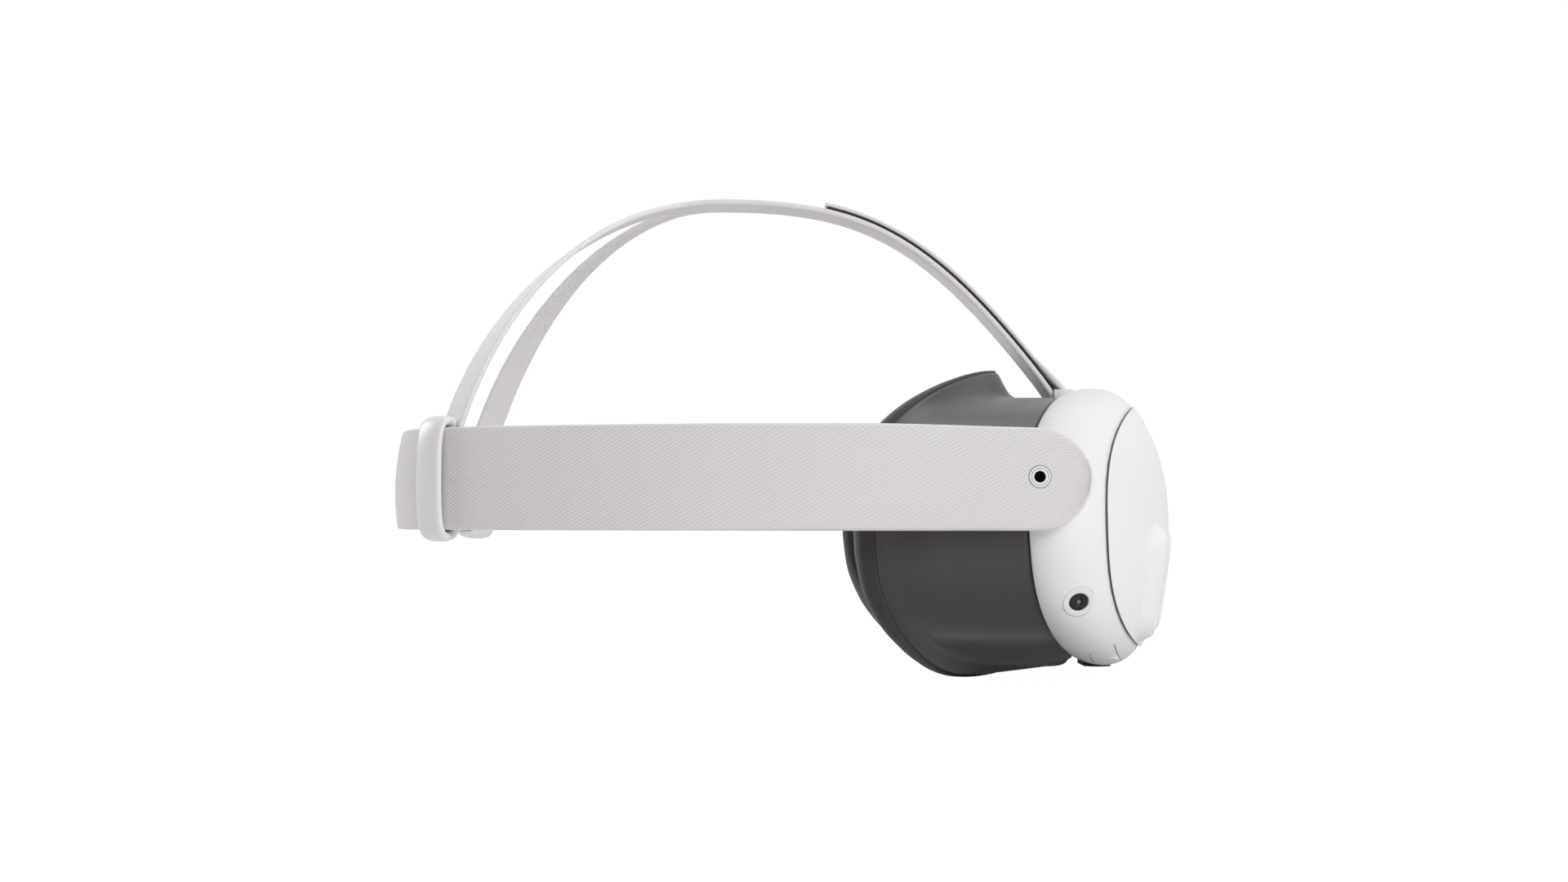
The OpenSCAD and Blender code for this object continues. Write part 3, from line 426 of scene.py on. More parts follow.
bracket_x = rear_x(0, visor_h / 2) + 0.4 * mm
bracket_z = visor_z + visor_h / 2 - 1.9 * mm
notch = 13.5 * mm
combine(housing, block_tool((bracket_x - 5 * mm, -notch, bracket_z - 10 * mm),
                            (bracket_x + 5 * mm, notch, bracket_z + 4 * mm)))
smooth_edges(housing, 32)
finished(housing, white_plastic, "visor", "white_shell", "visor_shell")


# ---- volume rocker ----
# A curved key cut from the same line as the housing and lying flush in it, with a hair gap
# all round. It rocks on a steel pin across its middle.
outline = block_tool((-3.7 * mm, -14 * mm, -7 * mm), (3.7 * mm, 14 * mm, 7 * mm), rocker_spot, 1.6 * mm)
combine(rocker_cap, outline, "INTERSECT")
web = block_tool((-3.5 * mm, -2.5 * mm, -2.7 * mm), (3.5 * mm, 2.5 * mm, 2.7 * mm), rocker_spot)
combine(rocker_cap, web, "UNION")
smooth_edges(rocker_cap, 32)
finished(rocker_cap, white_plastic, "volume_rocker", "white_shell", "volume_rocker")


# ---- front cover ----
# The white outer face of the visor, one domed moulding that swells up to meet the rims of
# the three sensor windows. It clips onto the housing over a thin rubber gasket.
pill_w, pill_h, pill_y, pill_z = 13 * mm, 31.7 * mm, 46 * mm, 30.5 * mm
pill_tilt = math.radians(8.6)
cover_x = joint_x + cover_dome
pill_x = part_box("sensor_frame_center")[1].x - pill_h / 2 * math.sin(pill_tilt)
cover_steps = 320
cover_back_inset = joint_inset + wall


def at_pill(side):
    x = pill_x if side == 0 else cover_x + sweep_x(pill_y, 0) - 1.6 * mm
    turn = Matrix.Rotation(math.radians(10 * side), 4, "Z") @ Matrix.Rotation(pill_tilt, 4, "Y")
    return Matrix.Translation((x, side * pill_y, pill_z)) @ turn


pill_spots = [(at_pill(side), at_pill(side).inverted()) for side in (-1, 0, 1)]


def dome_point(inset, rise, s, t):
    y, z = visor_oval(inset, t)
    y, z = y * s, z * s
    return Vector((joint_x + cover_gap + rise * (1 - s ** 2.6) + sweep_x(y, z), y, visor_z + z))


def swell(point, reach=3.6 * mm):
    """Lifts a point of the dome towards the nearest sensor rim."""
    for out, back in pill_spots:
        near = back @ point
        half = (pill_h - pill_w) / 2
        gap = math.hypot(near.y, near.z - max(-half, min(half, near.z))) - pill_w / 2
        if gap < reach:
            k = 1 - max(0.0, gap) / reach
            k = k * k * (3 - 2 * k)
            near.x += (-0.35 * mm - near.x) * k
            point = out @ near
    return point


cover_span = 78 * mm
cover_rings = [("front", k / 84) for k in range(84)]
cover_rings += [("front", 1 - 0.6 * mm / cover_span), ("front", 1 - 0.2 * mm / cover_span)]
cover_rings += [("rim", 0.35), ("rim", 0.15), ("rim", -0.05), ("back", 1)]
cover_rings += [("back", k / 20) for k in range(19, -1, -1)]


def cover_skin(i, j):
    kind, s = cover_rings[i]
    t = 2 * math.pi * (j % cover_steps) / cover_steps
    if kind == "front":
        return swell(dome_point(joint_inset, cover_dome - cover_gap, s, t))
    if kind == "rim":
        return dome_point(joint_inset + (0.25 * mm if s < 0 else 0), 0, 1, t) + Vector((max(0, s) * mm, 0, 0))
    return dome_point(cover_back_inset, cover_dome - cover_gap - 2 * mm, s, t)


cover = shape_grid("visor_front_cover", len(cover_rings) - 1, cover_steps, cover_skin, 45)
for side in (-1, 0, 1):
    hole = at_pill(side) @ Matrix.Translation((-4 * mm, 0, 0)) @ Matrix.Rotation(math.radians(90), 4, "X")
    combine(cover, round_tool(pill_w / 2 + 0.1 * mm, 20 * mm, hole, "X", (pill_h - pill_w) / 2))
smooth_edges(cover, 32)
finished(cover, white_plastic, "visor", "white_shell", "front_cover")


# ---- carried-over mouldings ----
# The rigid parts inside and around the visor: each is taken as it was drawn and gets its own finish,
# and the copied ones mostly have their sharp edges broken with a small round as a mould leaves them.
def softened(node, finish, slot, edge, segments=3, name=None, sharp=32):
    """A copy of a drawn part with its flat faces joined up and its edges rounded."""
    source = frame["nodes"][node]
    copy = bpy.data.objects.new(name or node + "_soft", source.data.copy())
    bpy.context.scene.collection.objects.link(copy)
    only(copy)
    bpy.ops.object.mode_set(mode="EDIT")
    bpy.ops.mesh.select_all(action="SELECT")
    bpy.ops.mesh.remove_doubles(threshold=3e-6)
    bpy.ops.mesh.dissolve_limited(angle_limit=math.radians(0.6))
    bpy.ops.mesh.select_all(action="SELECT")
    bpy.ops.mesh.normals_make_consistent(inside=False)
    bpy.ops.object.mode_set(mode="OBJECT")
    if edge:
        round_off = copy.modifiers.new("edges", "BEVEL")
        round_off.limit_method = "ANGLE"
        round_off.angle_limit = math.radians(sharp)
        round_off.width = edge
        round_off.segments = segments
        bpy.ops.object.modifier_apply(modifier=round_off.name)
    smooth_edges(copy, 30)
    finished(copy, finish, source["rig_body"], slot, node)
    return copy


def painted(finish, *nodes):
    for node in nodes:
        for place in frame["nodes"][node].material_slots:
            place.material = finish


trim_white = moulded("trim_white", (0.88, 0.875, 0.88), 0.36, grain=0.25 * mm, depth=0.006 * mm)
gasket_rubber = moulded("gasket_rubber", (0.13, 0.125, 0.13), 0.75)
camera_black = moulded("camera_black", (0.012, 0.012, 0.014), 0.3, depth=0.004 * mm)
magnesium = moulded("cast_magnesium", (0.42, 0.43, 0.44), 0.48, grain=0.5 * mm, depth=0.03 * mm,
                    metallic=0.9)
board_green = moulded("board_green", (0.02, 0.11, 0.05), 0.42, grain=0.8 * mm, depth=0.02 * mm, mottle=0.25)
battery_wrap = moulded("battery_wrap", (0.05, 0.06, 0.09), 0.4, mottle=0.1)
dark_nylon = moulded("dark_nylon", (0.028, 0.028, 0.03), 0.5, grain=0.3 * mm, depth=0.015 * mm)
curtain_cloth = moulded("curtain_cloth", (0.014, 0.014, 0.016), 0.85, grain=0.5 * mm, depth=0.06 * mm,
                        sheen=0.2)
bright_steel = moulded("bright_steel", (0.62, 0.62, 0.63), 0.26, grain=0.2 * mm, depth=0.004 * mm,
                       metallic=1.0)
socket_metal = moulded("socket_metal", (0.5, 0.5, 0.51), 0.3, depth=0.003 * mm, metallic=1.0)
contact_gold = moulded("contact_gold", (0.83, 0.6, 0.25), 0.24, depth=0.003 * mm, metallic=1.0)
pad_rubber = moulded("pad_rubber", (0.055, 0.055, 0.06), 0.6)
wheel_rubber = moulded("wheel_rubber", (0.2, 0.2, 0.21), 0.6)
driver_mesh = moulded("driver_mesh", (0.02, 0.02, 0.02), 0.55, grain=0.45 * mm, depth=0.12 * mm)
lens_plastic = moulded("lens_plastic", (0.93, 0.94, 0.97), 0.05, depth=0, mottle=0.005, ior=1.5, clear=0.88,
                       coat=0.4)
display_glass = moulded("display_glass", (0.01, 0.011, 0.016), 0.12, depth=0.001 * mm, coat=0.5)
sensor_glass = moulded("sensor_glass", (0.008, 0.008, 0.01), 0.08, depth=0.0005 * mm, coat=1.0)

painted(gasket_rubber, "cover_gasket")
painted(camera_black, "front_cameras")
painted(magnesium, "mid_frame", "heat_sink")
painted(board_green, "main_board")
painted(battery_wrap, "battery")
painted(dark_nylon, "screw_bearings")
painted(bright_steel, "guide_rods", "lead_screw", "volume_pin", "case_screws")
painted(curtain_cloth, "face_sleeve")
painted(socket_metal, "usb_socket")
painted(driver_mesh, "speaker_drivers")
painted(display_glass, "display_right", "display_left")
for end in ("right", "center", "left"):
    softened("sensor_frame_" + end, trim_white, "white_trim", 0.5 * mm, 4)
    softened("sensor_window_" + end, sensor_glass, "sensor_glass", 0.25 * mm)
softened("side_camera_bezels", white_plastic, "white_trim", 0.35 * mm, 4)
softened("power_button", white_plastic, "white_shell", 0.4 * mm)
softened("hub_right", trim_white, "white_trim", 0.35 * mm)
softened("hub_left", trim_white, "white_trim", 0.35 * mm)
softened("hub_washers", bright_steel, "steel", 0.1 * mm)
jack_black = moulded("jack_black", (0.12, 0.115, 0.12), 0.6)
jack = softened("headphone_socket", jack_black, "socket_metal", 0.12 * mm)
jack.data.materials.append(trim_white)
jack_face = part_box("headphone_socket")[0].y
for face in jack.data.polygons:
    if face.center.y < jack_face + 0.16 * mm:
        face.material_index = 1
softened("dock_pad", pad_rubber, "wheel_grey", 0.4 * mm)
softened("dock_contacts", contact_gold, "contact_gold", 0.15 * mm)
softened("ipd_wheel", wheel_rubber, "wheel_grey", 0.2 * mm, 2)
softened("strap_bracket", white_plastic, "white_shell", 0.3 * mm)
softened("fan_housing", dark_nylon, "inner_plastic", 0.25 * mm)
softened("fan_impeller", dark_nylon, "inner_plastic", 0.1 * mm, 2)
softened("lens_curtain", curtain_cloth, "curtain_black", 0.2 * mm)
for end in ("right", "left"):
    softened("lens_barrel_" + end, dark_nylon, "inner_plastic", 0.35 * mm)
    softened("lens_" + end, lens_plastic, "lens_clear", 0)
    softened("arm_" + end, trim_white, "white_trim", 0.8 * mm, 4)
softened("speaker_pods", white_plastic, "white_shell", 0.5 * mm)


# ---- side cameras ----
# A black tracking camera set behind a flat ring on each side of the housing: a glossy cover
# glass, a dark recess and a small lens in the middle, painted lighter as a painted reflection.
glint = moulded("camera_glint", (0.16, 0.17, 0.2), 0.2, depth=0.001 * mm, coat=1.0)
for side, end in ((-1, "right"), (1, "left")):
    spot = at_side_camera(side)
    nothing_selected()
    bpy.ops.mesh.primitive_cylinder_add(vertices=64, radius=3 * mm, depth=3.8 * mm, location=(0, 0, 0))
    lens = bpy.context.object
    lens.name = "side_camera_lens_" + end
    bpy.ops.object.mode_set(mode="EDIT")
    bpy.ops.mesh.select_mode(type="FACE")
    bpy.ops.mesh.select_all(action="DESELECT")
    bpy.ops.object.mode_set(mode="OBJECT")
    for face in lens.data.polygons:
        face.select = face.normal.z > 0.9
    bpy.ops.object.mode_set(mode="EDIT")
    for thick, rise in ((0.25, 0.12), (0.35, 0.03), (1.1, -0.05), (0.3, -0.35), (0.35, 0.3)):
        bpy.ops.mesh.inset(thickness=thick * mm, depth=rise * mm)
    bpy.ops.object.mode_set(mode="OBJECT")
    set_back = Matrix.Translation((-2.15 * mm, 0, 0))
    lens.data.transform(spot @ set_back @ Matrix.Rotation(math.radians(90), 4, "Y"))
    smooth_edges(lens, 50)
    finished(lens, camera_black, "visor", "camera_black", "side_camera_" + end)
    # camera_glint is a painted reflection: the lens faces near the middle get a lighter blue-grey colour in
    # place of the light the glass would reflect
    lens.data.materials.append(glint)
    centre = spot @ Vector((0, 0, 0))
    for face in lens.data.polygons:
        if (face.center - centre).length < 0.85 * mm:
            face.material_index = 1


# ---- face shell ----
# The dark moulded shroud between the visor and the face cushion. It flares from the visor's
# oval to the wider outline of the face, and slides in the visor to set the eye relief.
lip_x = cad_high.x - 63.2 * mm
cushion_a, cushion_b = 76 * mm, 51.2 * mm


def mixed(a, b, k):
    return a * (1 - k) + b * k


def lip_shape(dr, t):
    y, z = oval(cushion_a + dr, cushion_b + dr, 2.5, t)
    low = max(0.0, -math.sin(t)) ** 2
    return y, z + 7 * mm * math.exp(-(y / (14 * mm)) ** 2) * low


lip_z = -min(lip_shape(0, math.radians(5 * k))[1] for k in range(72))


def seat_x(t):
    y = oval(cushion_a, cushion_b, 2.5, t)[0]
    s, u = max(0.0, -math.sin(t)), max(0.0, math.sin(t))
    nose = math.exp(-(y / (20 * mm)) ** 2) * s * s
    return lip_x + mm * (-45.5 * (y / cushion_a) ** 2 - 19 * u * (1 - u) + (6 - 26 * s) * s * (1 - s)
                         - 13 * s * s + 26 * nose)


def pad_depth(t):
    return (6 - 1.5 * math.sin(t) ** 2) * mm


def shroud_point(f, k, inset, t):
    seam = lip_shape(-0.8 * mm - inset, t)
    tube = oval(visor_w / 2 - rear_inset - 1.2 * mm - inset, visor_h / 2 - rear_inset - inset, 3, t)
    x0 = seat_x(t) + pad_depth(t) + 0.25 * mm
    x1 = rear_x(tube[0], tube[1]) - 0.4 * mm
    return (mixed(x0, x1, f), mixed(seam[0], tube[0], k), mixed(seam[1] + lip_z, visor_z + tube[1], k))


def through(stops, w):
    """A smooth curve through evenly numbered stops, for w from 0 to 1."""
    w = max(0.0, min(0.999999, w)) * (len(stops) - 1)
    i = int(w)
    w -= i
    p = [stops[max(0, min(len(stops) - 1, i + k))] for k in (-1, 0, 1, 2)]
    return [0.5 * (2 * p1 + (p2 - p0) * w + (2 * p0 - 5 * p1 + 4 * p2 - p3) * w * w
                   + (3 * p1 - p0 - 3 * p2 + p3) * w ** 3) for p0, p1, p2, p3 in zip(*p)]


flare = [(0, 0), (0.035, 0.06), (0.08, 0.26), (0.14, 0.52), (0.22, 0.8), (0.36, 1), (0.6, 1), (0.8, 1),
         (1, 1)]
skirt = [(0, 0), (0.15, 0.012), (0.3, 0.03), (0.45, 0.05), (0.6, 0.08), (0.76, 0.15), (0.92, 0.25),
         (0.97, 0.6), (1, 1)]
shroud_rings = [(0.0, 0.5), (0.004, 0.15)] + [(0.012 + 0.978 * k / 48, 0) for k in range(49)] + [(1, 0.4)]
shroud_rings += [(1, 1.6)] + [(1 - 0.99 * k / 16, 2) for k in range(1, 17)] + [(0.0, 1.5)]
shroud_steps = 288


def shroud_skin(i, j):
    w, inset = shroud_rings[i % len(shroud_rings)]
    t = 2 * math.pi * (j % shroud_steps) / shroud_steps
    lean = max(0.0, -math.sin(t)) ** 4
    (f0, k0), (f1, k1) = through(flare, w), through(skirt, w)
    f, k = max(0, min(1, mixed(f0, f1, lean))), max(0, min(1, mixed(k0, k1, lean)))
    x, y, z = shroud_point(f, k, inset * mm, t)
    late = max(0.0, min(1.0, (w - 0.4) / 0.35))
    late *= 3 - 2 * late if t > math.pi and abs(y) > 12 * mm else 0
    roll = late * min(1, (abs(y) / mm - 12) / 16)
    lip = 0.9 * math.exp(-((z / mm - 7.0) / 2.2) ** 2)
    valley = 1.5 * math.exp(-((z / mm - 12.2) / 3.0) ** 2)
    move = roll * (lip - valley) * mm
    away = Vector((y, (z - visor_z) * 2.2)).normalized()
    return x, y + away.x * move, z + away.y * move


shroud_plastic = moulded("shroud_plastic", (0.05, 0.0455, 0.05), 0.36, grain=0.3 * mm, depth=0.012 * mm,
                         mottle=0.08, sheen=0.3)
shroud = shape_grid("face_shroud", len(shroud_rings), shroud_steps, shroud_skin, 40)
combine(shroud, block_tool((bracket_x - 6 * mm, -notch, bracket_z - 4.2 * mm),
                           (bracket_x + 6 * mm, notch, bracket_z + 9.8 * mm)))
smooth_edges(shroud, 40)
finished(shroud, shroud_plastic, "face", "face_shell", "face_frame")


# ---- face cushion ----
# A soft foam ring in a dark knitted cover. It is crowned on the side that meets the face,
# arched over the nose and fixed to the shroud's rim.
def fabric(name, colour, rib, cross, depth, valley=0.8, turn=30.0, sheen=0.35, rough=0.9, on="UV"):
    """Woven cloth: slanting ribs crossed by finer yarns, with a slight unevenness along them, and painted
    shade that darkens the colour by valley in the grooves between the yarns.
    """
    finish, tree, body = shader(name, colour, rough, sheen=sheen, specular=0.25)
    spot = tree.nodes.new("ShaderNodeTexCoord")
    slant = tree.nodes.new("ShaderNodeMapping")
    slant.inputs["Rotation"].default_value = (0, 0, math.radians(turn))
    waver = tree.nodes.new("ShaderNodeTexNoise")
    waver.inputs["Scale"].default_value = 260
    cloud = tree.nodes.new("ShaderNodeTexNoise")
    cloud.inputs["Scale"].default_value = 18
    ribs = tree.nodes.new("ShaderNodeTexWave")
    ribs.bands_direction = "Y"
    ribs.inputs["Scale"].default_value = 0.314 / rib
    ribs.inputs["Distortion"].default_value = 0.6
    ribs.inputs["Detail Scale"].default_value = 2
    yarns = tree.nodes.new("ShaderNodeTexWave")
    yarns.bands_direction = "X"
    yarns.inputs["Scale"].default_value = 0.314 / cross
    yarns.inputs["Distortion"].default_value = 0.8
    weave = tree.nodes.new("ShaderNodeMath")
    weave.operation = "MULTIPLY_ADD"
    weave.inputs[1].default_value = 0.35
    fuzz = tree.nodes.new("ShaderNodeMath")
    fuzz.operation = "MULTIPLY_ADD"
    fuzz.inputs[1].default_value = 0.3
    # painted shade: where the weave dips between the yarns the colour is darkened by valley, standing in for
    # the shade in the grooves
    tint = tree.nodes.new("ShaderNodeMix")
    tint.data_type = "RGBA"
    tint.inputs["A"].default_value = (*[c * valley for c in colour], 1)
    tint.inputs["B"].default_value = (*colour, 1)
    patch = tree.nodes.new("ShaderNodeMix")
    patch.data_type = "RGBA"
    patch.blend_type = "MULTIPLY"
    patch.inputs["B"].default_value = (0.94, 0.93, 0.935, 1)
    bump = tree.nodes.new("ShaderNodeBump")
    bump.inputs["Strength"].default_value = 0.7
    bump.inputs["Distance"].default_value = depth
    where = spot.outputs[on]
    tree.links.new(where, slant.inputs["Vector"])
    tree.links.new(slant.outputs["Vector"], ribs.inputs["Vector"])
    tree.links.new(slant.outputs["Vector"], yarns.inputs["Vector"])
    tree.links.new(spot.outputs["Object"], waver.inputs["Vector"])
    tree.links.new(spot.outputs["Object"], cloud.inputs["Vector"])
    tree.links.new(yarns.outputs["Fac"], weave.inputs[0])
    tree.links.new(ribs.outputs["Fac"], weave.inputs[2])
    tree.links.new(waver.outputs["Fac"], fuzz.inputs[0])
    tree.links.new(weave.outputs["Value"], fuzz.inputs[2])
    tree.links.new(fuzz.outputs["Value"], bump.inputs["Height"])
    tree.links.new(weave.outputs["Value"], tint.inputs["Factor"])
    tree.links.new(cloud.outputs["Fac"], patch.inputs["Factor"])
    tree.links.new(tint.outputs["Result"], patch.inputs["A"])
    tree.links.new(patch.outputs["Result"], body.inputs["Base Color"])
    tree.links.new(bump.outputs["Normal"], body.inputs["Normal"])
    return finish


def ring_curve(stops, w):
    """A smooth closed curve through the stops, for w from 0 to 1."""
    w = (w % 1) * len(stops)
    i = int(w)
    w -= i
    p = [stops[(i + k) % len(stops)] for k in (-1, 0, 1, 2)]
    return [0.5 * (2 * p1 + (p2 - p0) * w + (2 * p0 - 5 * p1 + 4 * p2 - p3) * w * w
                   + (3 * p1 - p0 - 3 * p2 + p3) * w ** 3) for p0, p1, p2, p3 in zip(*p)]


cushion_cut = [(1, -0.7), (1, -7), (1, -12.3), (0.6, -13.5), (0.22, -12.3), (0.02, -9.2), (-0.02, -6),
               (0.06, -3.1), (0.26, -1.1), (0.58, -0.15), (0.86, -0.1)]
cushion_steps, cushion_sides = 300, 48


def cushion_skin(i, j):
    t = 2 * math.pi * (j % cushion_steps) / cushion_steps
    deep, inward = ring_curve(cushion_cut, (i % cushion_sides) / cushion_sides)
    y, z = lip_shape(inward * mm, t)
    ripple = 0.12 * mm * math.sin(23 * t) * math.sin(11 * t + 2) * max(0, 1 - deep)
    return seat_x(t) + deep * pad_depth(t) + ripple, y, z + lip_z


cushion = shape_grid("face_cushion_pad", cushion_sides, cushion_steps, cushion_skin, 60)
cushion_knit = fabric("cushion_knit", (0.052, 0.048, 0.052), 0.55 * mm, 0.5 * mm, 0.05 * mm, valley=0.84,
                      turn=45, sheen=0.35)
finished(cushion, cushion_knit, "face", "face_foam", "face_cushion")


# ---- side straps ----
# A woven sleeve on each side of the head. Its front is pulled over the stiff arm and ends in
# a half round about the hub, and behind the arm it runs on as a single flat band.
strap_w, strap_t, band_t = 32.5 * mm, 1.9 * mm, 2.3 * mm
rear_r, flank_r, harness_y = 72 * mm, 250 * mm, 92 * mm
rear_c = -58 * mm
seam_angle = math.acos((flank_r - harness_y) / (flank_r - rear_r))
flank_x = rear_c + (flank_r - rear_r) * math.sin(seam_angle)
end_r = strap_w / 2
flat_l = pivot_x + end_r - flank_x
flank_l = flank_r * seam_angle


def harness_point(s, inward):
    """A point on the right side: s back from the strap's front end, inward from its outer face."""
    if s < flat_l:
        return pivot_x + end_r - s, -harness_y + inward
    if s < flat_l + flank_l:
        a = (s - flat_l) / flank_r
        r = flank_r - inward
        return flank_x - r * math.sin(a), flank_r - harness_y - r * math.cos(a)
    a = seam_angle + (s - flat_l - flank_l) / rear_r
    return rear_c - (rear_r - inward) * math.sin(a), -(rear_r - inward) * math.cos(a)


def rear_s(degrees):
    return flat_l + flank_l + (math.radians(degrees) - seam_angle) * rear_r


def cup(s, z):
    """How far the strap leans in towards the back of the head at a height z from its middle."""
    k = max(0.0, min(1.0, (s - rear_s(54)) / (rear_s(76) - rear_s(54))))
    return 1.6 * mm * k * k * (3 - 2 * k) * ((z + 4 * mm) / (16 * mm)) ** 2


hem = 0.9 * mm
faces_at = [k / 7 - 1 for k in range(15)]
sleeve_loop = [(f, 1, 0) for f in faces_at]
hem_turns = [a * math.pi / 10 for a in range(1, 10)]
sleeve_loop += [(1, 1 - math.sin(a), (1 - math.cos(a)) / 2) for a in hem_turns]
sleeve_loop += [(-f, 1, 1) for f in faces_at]
sleeve_loop += [(-1, 1 - math.sin(a), (1 + math.cos(a)) / 2) for a in hem_turns]
sleeve_end = rear_s(87)
sleeve_rings = [("round", a * math.pi / 48) for a in range(24)]
sleeve_rings += [("run", end_r + (sleeve_end - hem - end_r) * k / 170) for k in range(171)]
sleeve_rings += [("run", sleeve_end - 0.5 * hem), ("run", sleeve_end - 0.12 * hem), ("run", sleeve_end)]


def sleeve_thickness(s):
    k = max(0.0, min(1.0, (s - 103 * mm) / (9 * mm)))
    return mixed(5.1 * mm, strap_t, k * k * (3 - 2 * k))


def sleeve_skin(side):
    def place(i, j):
        kind, s = sleeve_rings[i]
        f, out, deep = sleeve_loop[j % len(sleeve_loop)]
        e = out * hem
        left = sleeve_end - s if kind == "run" else hem
        flat = 1 if left >= hem * 0.999 else math.sqrt(max(0.0, 1 - (1 - left / hem) ** 2))
        if kind == "round":
            half, s = (end_r - e) * math.sin(s), e + (end_r - e) * (1 - math.cos(s))
        else:
            half = end_r - e
        k = max(0.0, min(1.0, 1 - s / (75 * mm)))
        slim = 0.8 * mm * k * k * (3 - 2 * k) * min(1, half / (8 * mm))
        z = f * (half - slim) - slim
        x, y = harness_point(s, sleeve_thickness(s) * (0.5 + (deep - 0.5) * flat) + cup(s, z))
        return x, -side * y, strap_z + z
    return place


strap_cloth = fabric("strap_twill", (0.86, 0.845, 0.855), 1.1 * mm, 0.7 * mm, 0.13 * mm, valley=0.88, turn=30)
for side, end in ((-1, "right"), (1, "left")):
    sleeve = shape_grid("side_sleeve_" + end, len(sleeve_rings) - 1, len(sleeve_loop), sleeve_skin(side), 60)
    combine(sleeve, round_tool(3.38 * mm, 12 * mm, (pivot_x, side * 90 * mm, strap_z), "Y"))
    nothing_selected()
    bpy.ops.mesh.primitive_cone_add(vertices=96, radius1=4.3 * mm, radius2=3.1 * mm, depth=1.2 * mm)
    dish = bpy.context.object
    dish_spot = Matrix.Translation((pivot_x, side * 91.75 * mm, strap_z))
    dish.data.transform(dish_spot @ Matrix.Rotation(side * math.radians(-90), 4, "X"))
    combine(sleeve, dish)
    smooth_edges(sleeve, 60)
    finished(sleeve, strap_cloth, "harness", "strap_fabric", "side_strap_" + end)


# ---- rear band ----
# One wide elastic band round the back of the head. The side straps lie on it and are sewn
# to it at the back, and both pass together through the two sliders.
def webbing(name, line, edge, faces=10):
    """A flat band with rounded edges and ends. line is (centre, across, up, half width, half thickness)s."""
    loop = [(2 * k / faces - 1, 0, 1) for k in range(faces + 1)]
    loop += [(1, math.sin(a * math.pi / 8), math.cos(a * math.pi / 8)) for a in range(1, 8)]
    loop += [(1 - 2 * k / faces, 0, -1) for k in range(faces + 1)]
    loop += [(-1, math.sin(a * math.pi / 8), -math.cos(a * math.pi / 8)) for a in range(1, 8)]
    rings = []
    for first, second in ((line[0], line[1]), (line[-1], line[-2])):
        way = (second[0] - first[0]).normalized()
        caps = [(first[0] + way * first[4] * move, *first[1:], flat)
                for move, flat in ((0, 0), (0.12, 0.5), (0.45, 0.84), (1, 1))]
        rings.append(caps)
    rings = rings[0] + [(*p, 1) for p in line[2:-2]] + rings[1][::-1]

    def place(i, j):
        centre, across, up, half_w, half_t, flat = rings[i]
        f, bulge, rise = loop[j % len(loop)]
        wide = f * (half_w - edge) + math.copysign(bulge, f) * edge
        return centre + across * wide + up * (rise * half_t * flat)

    return shape_grid(name, len(rings) - 1, len(loop), place, 60)


band_line = []
band_from = rear_s(math.degrees(seam_angle) + 1)
for k in range(-130, 131):
    s = rear_s(90) - abs(k) / 130 * (rear_s(90) - band_from)
    flip = -1 if k < 0 else 1
    mid = Vector(harness_point(s, strap_t + 0.1 * mm + band_t / 2))
    top = Vector(harness_point(s, 0))
    up = Vector((top.x - mid.x, flip * (top.y - mid.y), 0)).normalized()
    band_line.append((Vector((mid.x, flip * mid.y, strap_z)), Vector((0, 0, 1)), up, strap_w / 2, band_t / 2))
band_cloth = fabric("band_elastic", (0.74, 0.72, 0.73), 0.9 * mm, 1.3 * mm, 0.15 * mm, valley=0.86, turn=90)
rear_band = webbing("rear_elastic_band", band_line, 0.9 * mm)
for v in rear_band.data.vertices:
    spread = math.hypot(v.co.x - rear_c, v.co.y)
    angle = math.degrees(math.atan2(rear_c - v.co.x, abs(v.co.y)))
    if angle > 54:
        shrink = 1 - cup(rear_s(angle), v.co.z - strap_z) / spread
        v.co.x, v.co.y = rear_c + (v.co.x - rear_c) * shrink, v.co.y * shrink
finished(rear_band, band_cloth, "harness", "strap_fabric", "rear_band")


# ---- sliders ----
# Two smooth white loops of acetal that hold the side straps on the rear band. Each slides
# round the back of the head and carries one branch of the top strap.
slider_plastic = moulded("slider_acetal", (0.86, 0.855, 0.86), 0.34, grain=0.3 * mm, depth=0.006 * mm)
slider_r = rear_r - (strap_t + band_t) / 2
slider_h, slider_w, slider_bar = 40 * mm, 9.5 * mm, 3.5 * mm
slider_out = (strap_t + 0.1 * mm + band_t + 1 * mm) / 2 + slider_bar
slider_at = math.radians(43)
outer_extra = 2.9 * mm
loop_n, loop_steps, bar_steps = 3.6, 120, 28


def slider_skin(side):
    def place(i, j):
        a = 2 * math.pi * (i % loop_steps) / loop_steps
        b = 2 * math.pi * (j % bar_steps) / bar_steps
        u, v = oval(slider_out - slider_bar / 2, slider_h / 2 - slider_bar / 2, loop_n, a)
        u2, v2 = oval(slider_out - slider_bar / 2, slider_h / 2 - slider_bar / 2, loop_n, a + 0.01)
        out = Vector((v2 - v, u - u2)).normalized()
        c, d = math.cos(b), math.sin(b)
        thick = slider_bar / 2 * math.copysign(abs(c) ** 0.85, c)
        outer = max(0.0, min(1.0, 0.5 + u / (3 * mm)))
        width = slider_w + outer_extra * outer * outer * (3 - 2 * outer)
        wide = width / 2 * math.copysign(abs(d) ** 0.9, d)
        u, v = u + out.x * thick, v + out.y * thick
        bow = -0.35 * mm * (1 - (v / (slider_h / 2)) ** 2) + 0.25 * mm
        radius, sweep = slider_r + 0.05 * mm + u, wide + bow
        x = rear_c - radius * math.cos(slider_at) + sweep * math.sin(slider_at)
        y = radius * math.sin(slider_at) + sweep * math.cos(slider_at)
        return x, side * y, strap_z + v
    return place


for side, end in ((-1, "right"), (1, "left")):
    loop_piece = shape_grid("slider_loop_" + end, loop_steps, bar_steps, slider_skin(side), 70)
    finished(loop_piece, slider_plastic, "slider_" + end, "slider_plastic", "slider_" + end)


